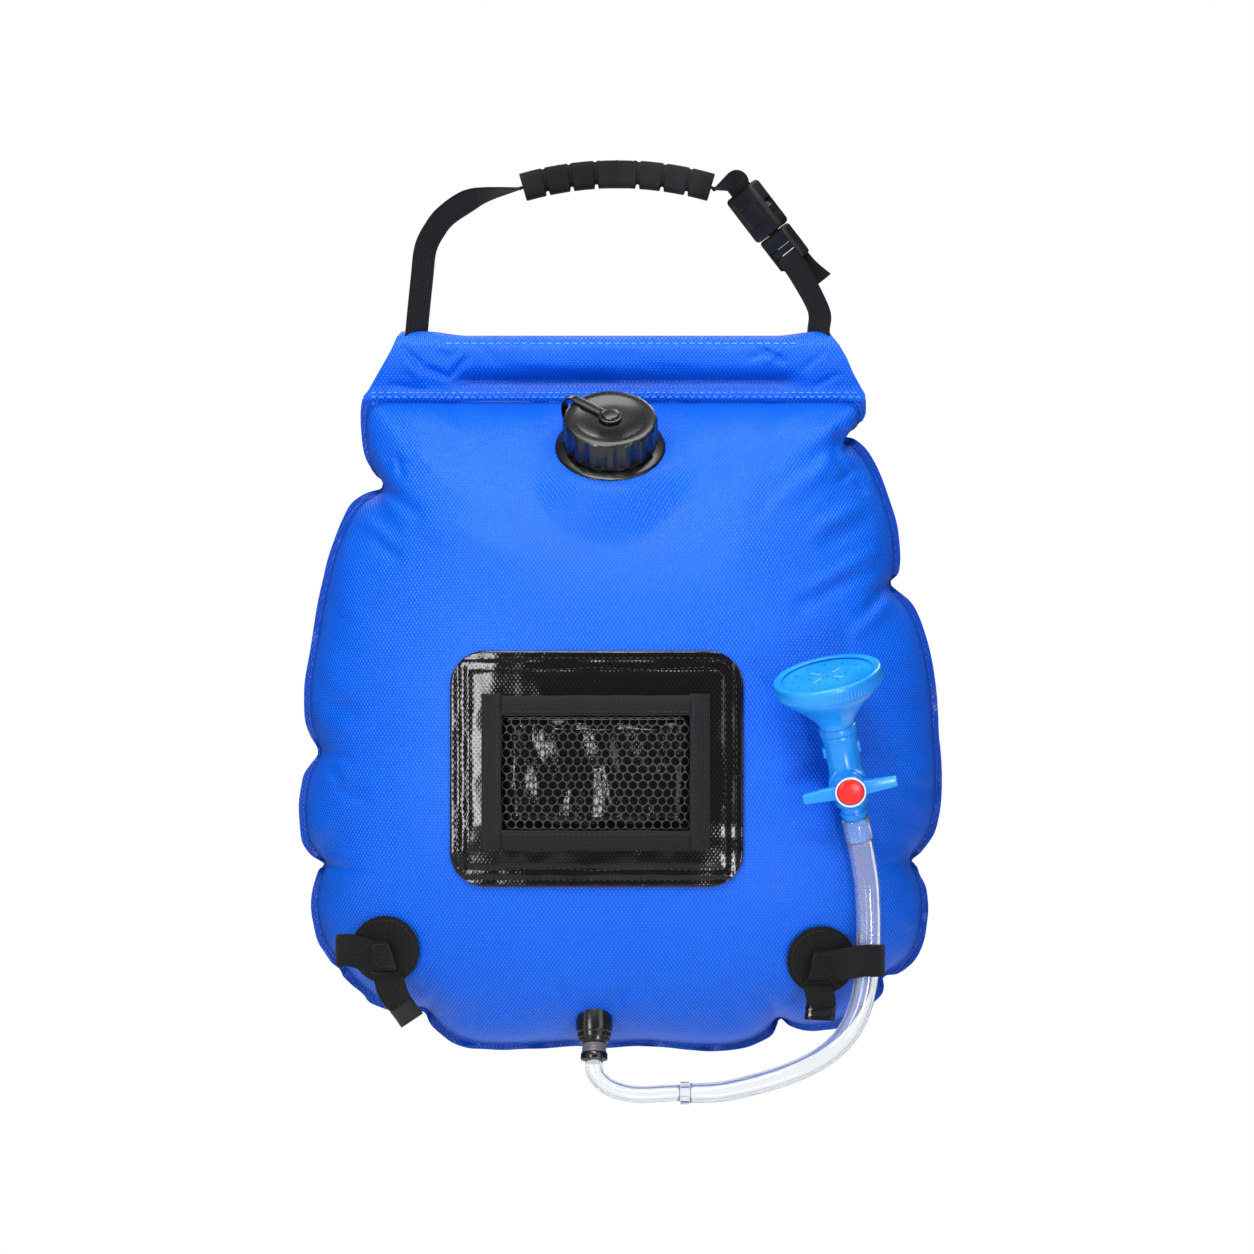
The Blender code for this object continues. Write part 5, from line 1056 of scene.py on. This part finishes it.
def add_rose():
    head = frame_on(HEAD_PLACE, HEAD_UP, LEVER_WAY)
    funnel = [
        (2.4, 68.3), (11.2, 68.3), (11.2, 72.3), (10.2, 72.6), (10.4, 74.2), (12.2, 77.2), (15.6, 81.4), (19.8, 85.6), (24.4, 89.6),
        (28.2, 93.0), (29.6, 95.2), (30, 97.4), (30, 100.85), (28.2, 100.85), (28.2, 97.2), (26.6, 94.2), (22.6, 90.4), (17.6, 86.0),
        (12.6, 81.0), (8.8, 76.4), (6.4, 73.6), (2.4, 72.3),
    ]
    made = turned("rose_funnel", funnel, 0.2, 128, head)
    finished(made, "bag", "light_blue_moulding", ["head_funnel"], smooth=40)
    band = [
        (27.4, 104.75), (27.4, 105.5), (27.7, 105.75), (31.6, 105.75), (32.3, 105.3), (32.5, 104.8), (32.5, 102.6), (32.5, 102.0), (32.5, 97.6), (32.2, 96.95),
        (31.6, 96.75), (30.3, 96.75), (30.3, 104.75),
    ]
    ring = turned("rose_band", band, 0.0, 540)
    for v in ring.data.vertices:
        radius, height = v.co.xy.length, v.co.z / MM
        if radius > 0.0315 and 97 < height < 102.2:
            wave = 0.5 - 0.5 * cos(90 * Vector((1, 0)).angle_signed(v.co.xy))
            v.co.xy *= 1 - 0.016 * wave**1.4
    finished(placed(ring, head), "rose", "light_blue_moulding", ["rose_ring"], smooth=50)
    face = [
        (0, 104.0), (5.6, 104.0), (6.4, 104.1), (7.2, 104.1), (8.0, 104.0), (20.6, 104.0), (23.2, 104.2), (26.0, 104.2), (28.0, 104.1),
        (30, 104.1), (30, 102.25), (0, 102.25),
    ]
    plate = turned("rose_face", face, 0.12, 128)
    holes = []
    for share, count in ((0, 1), (0.36, 6), (0.70, 12)):
        for k in range(count):
            turn = 2 * pi * k / count
            holes.append(bar("hole", 0.9, 100, 107, 20, place=(30 * share * cos(turn), 30 * share * sin(turn))))
    # The strokes are light blue moulding like the plate; their paler colour is a painted highlight.
    strokes = []
    for k in range(4):
        stroke = box("stroke", (7.4, 1.1, 0.6), (9.0, 0, 104.42), 0.2)
        strokes.append(placed(stroke, Matrix.Rotation(pi / 4 + k * pi / 2, 4, "Z")))
    marks = placed(joined("spray_ridges", strokes), head)
    finished(marks, "rose_plate", "light_blue_moulding", finish="blue_moulding_painted_highlight", smooth=40)
    combine(plate, joined("holes", holes))
    finished(placed(plate, head), "rose_plate", "light_blue_moulding", ["spray_plate"], smooth=35)


# ---------------------------------------------------------------- handle
SLEEVE_TOP, TWIST = -0.086, radians(42)
BUCKLE_PLACE, BUCKLE_DROP = Vector((0.0720, 0, -0.0012)), radians(52.6)
BUCKLE_ALONG = Vector((cos(BUCKLE_DROP), 0, -sin(BUCKLE_DROP)))
BUCKLE_ACROSS = -Y * cos(TWIST) + Vector((sin(BUCKLE_DROP), 0, cos(BUCKLE_DROP))) * sin(TWIST)


def grip_point(along, lift=0.0):
    angle, radius = along / 0.204, 0.204 + lift
    return Vector((-0.0024 + radius * sin(angle), 0, 0.00825 - 0.204 + radius * cos(angle)))


def handle_path():
    points = [Vector((-0.1226, 0, z)) for z in (-0.099, -0.0925, -0.086)]
    twist = [TWIST] * 3
    for share, rise in ((1.000, 0.36), (0.967, 0.58), (0.920, 0.72), (0.868, 0.81), (0.770, 0.905), (0.672, 0.955)):
        points.append(Vector((-0.1226 * share * (1 - 0.02 * rise), 0, SLEEVE_TOP * (1 - rise))))
        twist.append(TWIST)
    points[3].x = -0.1226 * 0.975
    twist[-1] = TWIST * 0.6
    for share in (-1.04, -1, -0.5, 0, 0.5, 1, 1.04):
        points.append(grip_point(0.05725 * share))
        twist.append(0)
    for share in (-1.1, -0.6, -0.1, 0.4, 1):
        points.append(BUCKLE_PLACE + BUCKLE_ALONG * (share * 0.0057))
        twist.append(TWIST)
    fine = smooth_path(points, 14)
    lean = [v.x for v in smooth_path([(t, 0, 0) for t in twist], 14)]
    sides = []
    for k, turn in enumerate(lean):
        ahead = (fine[min(k + 1, len(fine) - 1)] - fine[max(k - 1, 0)]).normalized()
        sides.append(-Y * cos(turn) + Vector((-ahead.z, 0, ahead.x)) * sin(turn))
    return fine, sides


def add_handle():
    path, sides = handle_path()
    finished(strap_mesh("handle_strap", path, sides, 0.020, 0.0015, 12), "bag", "black_webbing", ["handle_webbing"], smooth=60)
    bar_at = BUCKLE_PLACE + BUCKLE_ALONG * 0.0507
    through = BUCKLE_ALONG.cross(BUCKLE_ACROSS)
    radius = 0.00315
    low = Vector((0.1185, 0, SLEEVE_TOP))
    points = [low - Z * 0.013, low, low + Z * 0.013, bar_at + BUCKLE_ALONG * (3 * radius) + through * radius]
    for angle in (90, 45, 0, -45, -90):
        points.append(bar_at - BUCKLE_ALONG * (radius * cos(radians(angle))) + through * (radius * sin(radians(angle))))
    points += [bar_at + BUCKLE_ALONG * 0.011 - through * (radius * 1.3), bar_at + BUCKLE_ALONG * 0.022 - through * (radius * 2.4)]
    across = [-Y * cos(TWIST) + X * sin(TWIST)] * 3 + [BUCKLE_ACROSS] * 8
    fine, sides = sewn(points, across, 10)
    finished(strap_mesh("lower_strap", fine, sides, 0.020, 0.0015, 12), "bag", "black_webbing", ["lower_webbing"], smooth=60)
    add_grip()
    add_buckle()


def grip_ring(u, groove, ribs=0.0, count=12):
    """Outer and inner outline of the grip's section at a length along it; groove from 0, a block, to 1."""
    top = 8.25 - 0.7 * groove - ribs
    foot = -8.25 + 2.7 * groove
    deep, rim = 13.0 - 1.4 * groove, 13.0 - 0.1 * groove
    corner = 3.6
    outer = []
    for cy, cz, first in ((-deep + corner, foot + corner, 180), (deep - corner, foot + corner, 270), (rim - corner, top - corner, 0), (-rim + corner, top - corner, 90)):
        for k in range(count // 2 + 1):
            turn = radians(first + 90 * k / (count // 2))
            outer.append((cy + corner * cos(turn), cz + corner * sin(turn)))
    inner = [(np.clip(y * 10.6 / (rim - corner), -10.6, 10.6), 1.35 if z > 0 else -1.35) for y, z in outer]
    rings = []
    for outline in (outer, inner):
        ring = []
        for y, lift in outline:
            point = grip_point(u * MM, lift * MM)
            if outline is outer and lift < foot + 0.01 and abs(u) <= 11.6 and not groove:
                point.z = 0.0
            ring.append(point + Y * (y * MM))
        rings.append(ring)
    return rings


def add_grip():
    """Arched rubber moulding with blocks above and below, fine ribs on its middle and a channel for the strap."""
    groove, centre, half = 2.4, 11.5, 57.25
    length = (half - centre - 3 * groove) / 3
    marks = [(0.0, 0, 0)] + [(0.5 + k * 0.5, 0, 0.35 * (k % 2)) for k in range(18)] + [(centre - 0.9, 0, 0), (centre - 0.2, 0, 0)]
    at = centre
    for _ in range(3):
        marks += [(at + 0.15, 0.35, 0), (at + 0.35, 0.9, 0), (at + 0.7, 1, 0), (at + groove - 0.7, 1, 0), (at + groove - 0.35, 0.9, 0), (at + groove - 0.15, 0.35, 0)]
        at += groove
        marks += [(at + length * share, 0, 0) for share in (0.02, 0.1, 0.3, 0.5, 0.7, 0.9, 0.98)]
        at += length
    marks[-1] = (half, 0.25, 0)
    marks.insert(-1, (half - 0.5, 0.05, 0))
    stations = [(-u, g, r) for u, g, r in marks[:0:-1]] + marks
    outers, inners = zip(*[grip_ring(*mark) for mark in stations])
    size = len(outers[0])
    points = [p for ring in outers for p in ring] + [p for ring in reversed(inners) for p in ring]
    faces = grid_faces(2 * len(stations), size, wrap=True)
    last = (2 * len(stations) - 1) * size
    faces += [(last + k, last + (k + 1) % size, (k + 1) % size, k) for k in range(size)]
    made = new_mesh("grip_cover", points, faces)
    bm = bmesh.new()
    bm.from_mesh(made.data)
    bmesh.ops.dissolve_degenerate(bm, dist=0.00001, edges=bm.edges)
    bm.to_mesh(made.data)
    bm.free()
    outward(made)
    finished(made, "bag", "soft_rubber", ["grip"], smooth=38)


def add_buckle():
    turn = Matrix((BUCKLE_ACROSS, BUCKLE_ALONG.cross(BUCKLE_ACROSS), BUCKLE_ALONG)).transposed().to_4x4()
    frame = Matrix.Translation(BUCKLE_PLACE) @ turn
    shell = box("buckle_socket", (27, 10, 32), (0, 0, 16), 2.6, 4)
    combine(shell, box("cavity", (22, 5.6, 27), (0, 0, 22.5), 0.6))
    combine(shell, box("windows", (31, 5.6, 10), (0, 0, 18), 0.8))
    combine(shell, box("slot", (20.6, 2.1, 10), (0, 0, 1), 0.3))
    for side in (-1, 1):
        combine(shell, box("recess", (15, 1.2, 13), (0, side * 5.2, 17), 0.4))
        for k in range(3):
            combine(shell, box("rib", (15.5, 1.0, 1.0), (0, side * 5.0, 5.4 + 2.0 * k), 0.3), "UNION")
    bevelled(shell, 0.3, 2, 40)
    finished(placed(shell, frame), "bag", "black_moulding", ["buckle_female"], "buckle_moulding", 35)
    male = box("buckle_plug", (25, 8, 22), (0, 0, 43.3), 1.9, 4)
    combine(male, box("tongue", (5.6, 5.0, 24), (0, 0, 24.3), 0.5), "UNION")
    combine(male, box("gap", (21, 12, 16.5), (0, 0, 50.05), 0.5))
    rail = bar("crossbar", 1.8, -11.5, 11.5, 40)
    placed(rail, Matrix.Translation((0, 0, 50.7 * MM)) @ Matrix.Rotation(pi / 2, 4, "Y"))
    combine(male, rail, "UNION")
    combine(male, box("ladder", (21.6, 1.6, 4.4), (0, 2.6, 44.3), 0.4), "UNION")
    bevelled(male, 0.25, 2, 40)
    finished(placed(male, frame), "bag", "black_moulding", ["buckle_male"], "buckle_moulding", 35)


# ---------------------------------------------------------------- pocket
PATCH = (-0.0144, -0.3477, 0.1742, 0.1402, 0.021)
FRAME = (-0.0150, -0.3500, 0.1356, 0.0920)
TAPE = 0.012
LINING_LIFT, POCKET_DEPTH = 0.0029, 0.0075


def square_round(u, v):
    """A point of the unit square moved onto the unit disc."""
    return u * sqrt(1 - v * v / 2), v * sqrt(1 - u * u / 2)


def rounded_place(u, v, half_x, half_z, radius):
    x, z = u * half_x, v * half_z
    dx, dz = abs(x) - (half_x - radius), abs(z) - (half_z - radius)
    if dx > 0 and dz > 0:
        a, b = square_round(dx / radius, dz / radius)
        x = (half_x - radius + a * radius) * (1 if x > 0 else -1)
        z = (half_z - radius + b * radius) * (1 if z > 0 else -1)
    return x, z


def cloth_between(name, low, high, columns, rows, pairs):
    """A closed sheet between two grids of points, with the cloth's own UV."""
    count = columns * rows
    faces = [tuple(reversed(f)) for f in grid_faces(rows, columns)]
    faces += [tuple(count + v for v in f) for f in grid_faces(rows, columns)]
    rim = list(range(columns)) + [j * columns + columns - 1 for j in range(1, rows)]
    rim += [(rows - 1) * columns + i for i in range(columns - 2, -1, -1)] + [j * columns for j in range(rows - 2, 0, -1)]
    for a, b in zip(rim, rim[1:] + rim[:1]):
        faces.append((a, b, count + b, count + a))
    made = new_mesh(name, list(low) + list(high), faces)
    outward(made)
    set_uv(made, list(pairs) * 2)
    return made


def laid_sheet(name, tree, centre, size, lift, thick, cells, ripple, corner=0.0):
    """A sheet on the front of the bag; ripple(x, z) raises it."""
    columns, rows = cells[0] + 1, cells[1] + 1
    low, high, pairs = [], [], []
    cast = cast_down(tree)
    for j in range(rows):
        for i in range(columns):
            u, v = 2 * i / cells[0] - 1, 1 - 2 * j / cells[1]
            x, z = rounded_place(u, v, size[0] / 2, size[1] / 2, max(corner, 0.0001))
            spot, _ = cast(centre[0] + x, centre[1] + z)
            rise = lift + ripple(x, z)
            low.append(spot - Y * rise)
            high.append(spot - Y * (rise + thick))
            pairs.append((x, z))
    return cloth_between(name, low, high, columns, rows, pairs)


def creased(x, z, scale, seed):
    """Sharp crinkles of a stiff film, from 0 to 1."""
    place = Vector((x * scale, z * scale, seed))
    place += noise.noise_vector(place * 0.6) * 0.5
    near, points = noise.voronoi(place)
    return min(1.0, (near[1] - near[0]) * 1.6)


def add_pocket(skin):
    def soft(x, z):
        edge = min(0.0871 - abs(x), 0.0701 - abs(z))
        wave = noise.noise(Vector((x * 42, z * 42, 2.0))) * 0.9 + noise.noise(Vector((x * 110, z * 110, 7.0))) * 0.35
        pull = np.exp(-(((edge - 0.0105) / 0.0016) ** 2)) * 0.4 + np.exp(-(((edge - 0.0045) / 0.0014) ** 2)) * 0.4
        return (wave + 0.4 - pull) * MM
    patch = laid_sheet("pocket_base", skin, PATCH[:2], PATCH[2:4], 0.0010, 0.0010, (150, 120), soft, PATCH[4])
    finished(patch, "bag", "black_film", ["pocket_patch"]).data.shade_smooth()
    base = surface_of(patch)
    runs = []
    for inset, wobble in ((0.0042, 0.0), (0.0105, 0.0006)):
        half_x, half_z, radius = PATCH[2] / 2 - inset, PATCH[3] / 2 - inset, max(0.004, PATCH[4] - inset)
        line = []
        for k in range(161):
            turn = 2 * pi * k / 160
            u, v = cos(turn), sin(turn)
            grow = 1 / max(abs(u), abs(v))
            x, z = rounded_place(u * grow, v * grow, half_x, half_z, radius)
            line.append((PATCH[0] + x, PATCH[1] + z + wobble * sin(9 * turn)))
        runs += stitch_spots(cast_down(base), line, 2.2, 1.6)
    finished(thread_mesh("pocket_stitches", runs, 0.30), "bag", "black_film", finish="black_thread")

    def crinkle(x, z):
        far = max(0.0, min(0.0535 - abs(x), 0.0317 - abs(z)))
        fold = noise.noise(Vector((x * 62, z * 26, 3.0))) + 0.4
        return (0.0040 * fold + 0.0018 * creased(x, z * 0.5, 30, 1.0)) * min(1.0, far / 0.006)
    size = (FRAME[2] - 2 * TAPE - 0.004, FRAME[3] - 2 * TAPE - 0.004)
    lining = laid_sheet("pocket_liner", skin, FRAME[:2], size, LINING_LIFT, 0.0005, (170, 110), crinkle, 0.002)
    finished(lining, "bag", "black_film", ["pocket_lining"], "black_lining").data.shade_smooth()
    add_tapes(skin)
    add_net(skin)


def add_tapes(skin):
    """Binding round the net: the outer edge sewn down, the inner edge held out."""
    half_x, half_z = FRAME[2] / 2, FRAME[3] / 2
    in_x, in_z = half_x - TAPE, half_z - TAPE
    low, high = LINING_LIFT, LINING_LIFT + POCKET_DEPTH
    cast = cast_down(skin)
    corners = {
        "tape_left": ((-half_x, -half_z), (-half_x, half_z + 0.001), (-in_x, -half_z), (-in_x, half_z + 0.001), low),
        "tape_right": ((half_x, -half_z), (half_x, half_z + 0.001), (in_x, -half_z), (in_x, half_z + 0.001), low),
        "tape_bottom": ((-in_x, -half_z), (in_x, -half_z), (-in_x, -in_z), (in_x, -in_z), low),
        "tape_top": ((-in_x, half_z), (in_x, half_z), (-in_x, in_z), (in_x, in_z), high),
    }
    runs = []
    for number, (name, (out_a, out_b, in_a, in_b, edge)) in enumerate(corners.items()):
        long = (Vector(out_b) - Vector(out_a)).length
        columns, rows = 13, round(long / 0.0012)
        low_grid, high_grid, pairs = [], [], []
        for j in range(rows):
            for i in range(columns):
                share, inward = j / (rows - 1), i / (columns - 1)
                outer, inner = Vector(out_a).lerp(Vector(out_b), share), Vector(in_a).lerp(Vector(in_b), share)
                x, z = outer.lerp(inner, inward)
                bow = 0.5 - 0.5 * cos(pi * min(1, inward * 1.15))
                if number < 2:
                    bow = min(bow, 0.5 - 0.5 * cos(pi * min(1, (z + half_z) / TAPE * 1.15)))
                wave = noise.noise(Vector((x * 60, z * 60, number * 3.0))) * 0.0006 + 0.0007 * sin(pi * inward)
                rise = edge + (high - edge) * bow + wave + number % 2 * 0.0002
                edge_wave = noise.noise(Vector((share * long * 55, number * 2.0, 1.5))) * 0.0005 * (inward if number < 3 else 1)
                spot, _ = cast(FRAME[0] + x, FRAME[1] + z)
                spot = spot + (X if number < 2 else Z) * edge_wave
                low_grid.append(spot - Y * rise)
                high_grid.append(spot - Y * (rise + 0.001 * max(0.3, (1 - abs(2 * inward - 1) ** 6) ** 0.5)))
                pairs.append((inward * TAPE, share * long))
        made = cloth_between(name + "_binding", low_grid, high_grid, columns, rows, pairs)
        finished(made, "bag", "black_webbing", [name], "black_tape").data.shade_smooth()
        tree = surface_of(made)
        for inward in (0.18, 0.80):
            line = [Vector(out_a).lerp(Vector(in_a), inward), Vector(out_b).lerp(Vector(in_b), inward)]
            runs += stitch_spots(cast_down(tree), [(FRAME[0] + p.x, FRAME[1] + p.y) for p in line], 1.7, 1.2)
    finished(thread_mesh("tape_stitches", runs, 0.22), "bag", "black_webbing", finish="black_thread")


def add_net(skin, columns=20, rows=14):
    """Knitted net of six sided meshes, drawn together towards the top middle."""
    wide, tall = FRAME[2] - 2 * TAPE - 0.0006, FRAME[3] - 2 * TAPE - 0.0006
    step_x, step_z = wide / (columns + 0.5), tall / (rows + 1 / 3)
    bm = bmesh.new()
    for row in range(rows):
        for column in range(columns):
            x = (column + 0.5 + 0.5 * (row % 2)) * step_x - wide / 2
            z = tall / 2 - (row + 2 / 3) * step_z
            cell = []
            for out, up in ((0, 0.72), (0.5, 0.28), (0.5, -0.28), (0, -0.72), (-0.5, -0.28), (-0.5, 0.28)):
                cell.append(bm.verts.new((x + out * step_x, 0, z + up * step_z)))
            bm.faces.new(cell)
    bmesh.ops.remove_doubles(bm, verts=bm.verts, dist=0.0009)
    made_mesh = bpy.data.meshes.new("net_web")
    bm.to_mesh(made_mesh)
    bm.free()
    made = bpy.data.objects.new("net_web", made_mesh)
    bpy.context.scene.collection.objects.link(made)
    cast = cast_down(skin)
    lift = LINING_LIFT + POCKET_DEPTH + 0.0002
    for v in made.data.vertices:
        x, z = v.co.x, v.co.z
        top = min(1, max(0, (z / tall + 0.5)))
        hold = (1 - (2 * x / wide) ** 2) * (1 - (2 * z / tall) ** 2)
        draw = np.exp(-(((x + 0.002) / 0.022) ** 2)) * top**2 * hold
        x2 = x - (x + 0.002) * 0.42 * draw + noise.noise(Vector((x * 70, z * 70, 0))) * 0.0013 * min(1, hold * 4)
        z2 = z + noise.noise(Vector((x * 90, z * 90, 9))) * 0.0006 * min(1, hold * 4)
        spot, _ = cast(FRAME[0] + x2, FRAME[1] + z2)
        v.co = spot - Y * (lift + 0.0012 * hold * (0.5 + noise.noise(Vector((x * 40, z * 40, 3)))))
    apply_modifier(made, "WIREFRAME", thickness=0.00042, use_replace=True, use_even_offset=True, use_boundary=True)
    apply_modifier(made, "SUBSURF", levels=1)
    outward(made)
    finished(made, "bag", "black_net", ["pocket_net"]).data.shade_smooth()


# ---------------------------------------------------------------- side straps
RIGHT_SPOT, LEFT_SPOT = Vector((0.1194, -0.057393, -0.4620)), Vector((-0.1405, -0.04843, -0.4560))


def patch_normal(tree, spot):
    """Which way the bag faces round a strap patch."""
    total = Vector()
    for a in (-0.012, 0, 0.012):
        for b in (-0.012, 0, 0.012):
            total += cast_down(tree)(spot.x + a, spot.z + b)[1]
    return total.normalized()


def strap_loop(spot, normal, side, reach, radius, on_disc, seat):
    level = Vector((-normal.y, normal.x, 0)).normalized() * side
    slope = (level.cross(normal) * side).normalized()
    slope = slope if slope.z < 0 else -slope
    core = spot + X * (side * reach[0]) - Y * reach[1]
    back = on_disc + seat + 0.00065
    front, half = back + 0.0019, 0.0095
    points = [spot - level * half * 0.9 + normal * front, spot + level * half * 0.6 + normal * front]
    sides = [slope, slope]
    for angle in (110, 70, 35, 0, -35, -70, -110):
        turn = radians(angle)
        points.append(core + X * (side * radius * cos(turn)) - Y * (radius * sin(turn)))
        sides.append(-Z)
    points += [spot + level * half + normal * back, spot - level * half * 0.6 + normal * back]
    return points, sides + [slope, slope], level, slope


def add_side_strap(tree, label, side, spot, normal, reach, radius, tail, seats):
    """Round sewn patch, the loop on it and its loose tail."""
    cells = 44
    low, high, pairs = [], [], []
    cast = cast_down(tree)
    for j in range(cells + 1):
        for i in range(cells + 1):
            a, b = square_round(2 * i / cells - 1, 1 - 2 * j / cells)
            place, facing = cast(spot.x + 0.0205 * a, spot.z + 0.0205 * b)
            lean = max(abs(facing.y), 0.45)
            low.append(place - Y * (0.0010 / lean))
            high.append(place - Y * (0.0026 / lean))
            pairs.append((a * 0.0205, b * 0.0205))
    disc = cloth_between("round_patch_" + label, low, high, cells + 1, cells + 1, pairs)
    finished(disc, "bag", "black_webbing", ["disc_" + label], smooth=50)
    seen = surface_of(disc)
    ring = [(spot.x + 0.0178 * cos(2 * pi * k / 60), spot.z + 0.0178 * sin(2 * pi * k / 60)) for k in range(61)]
    runs = stitch_spots(cast_down(seen), ring, 1.9, 1.3)
    on_disc = 0.0034
    points, sides, level, slope = strap_loop(spot, normal, side, reach, radius, on_disc, seats[0])
    fine, across = sewn(points, sides, 10)
    loop = strap_mesh("strap_loop_" + label, fine, across, 0.019, 0.0013)
    finished(loop, "bag", "black_webbing", ["loop_" + label], smooth=60)
    shift, drop = tail
    path = [
        spot + slope * 0.0121, spot + slope * 0.0164, spot + Vector((shift * 0.5, 0, -drop * 0.66)), spot + Vector((shift, 0, -drop)),
    ]
    fine, across = sewn([p + normal * (on_disc + seats[1]) for p in path], [level] * 4, 12)
    finished(strap_mesh("strap_tail_" + label, fine, across, 0.019, 0.0013), "bag", "black_webbing", ["tail_" + label], smooth=60)
    tip = fine[-9:]
    wrap = strap_mesh("tail_tip_" + label, [tip[0], *tip[1:], tip[-1] + (tip[-1] - tip[-2]) * 0.3], across[-10:], 0.0196, 0.0021, 10)
    finished(wrap, "bag", "black_film", smooth=60)
    loop_tree = surface_of(loop)
    middle = spot + normal * (on_disc + 0.003)
    square = [middle + level * a + slope * b for a, b in ((-0.0075, -0.0072), (0.0045, -0.0072), (0.0045, 0.0072), (-0.0075, 0.0072), (-0.0075, -0.0072), (0.0045, 0.0072))]
    runs += stitch_spots(cast_down(loop_tree), [(p.x, p.z) for p in square], 1.6, 0.9)
    finished(thread_mesh("strap_stitches_" + label, runs, 0.24), "bag", "black_webbing", finish="black_thread")


# ---------------------------------------------------------------- run
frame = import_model()
bpy.ops.object.select_all(action="DESELECT")
add_camera()
add_studio()
FINISHES = make_finishes()
add_hoses()
SKIN = add_bag()
add_header()
add_filler()
add_outlet()
add_valve()
add_lever()
add_rose()
add_handle()
add_pocket(SKIN)
RIGHT_NORMAL, LEFT_NORMAL = (patch_normal(SKIN, spot) for spot in (RIGHT_SPOT, LEFT_SPOT))
add_side_strap(SKIN, "right", 1, RIGHT_SPOT, RIGHT_NORMAL, (0.0275, 0.0057), 0.0096, (-0.00164, 0.0345), (0.0004, -0.0016))
add_side_strap(SKIN, "left", -1, LEFT_SPOT, LEFT_NORMAL, (0.0230, 0.0060), 0.0060, (0.01845, 0.0390), (0.0015, 0.0024))
for node_name, node in frame["nodes"].items():
    slot = next(part["material_slot"] for part in frame["record"]["subparts"] if part["node"] == node_name)
    for place in node.material_slots:
        place.material = FINISHES[slot]
bpy.context.view_layer.update()
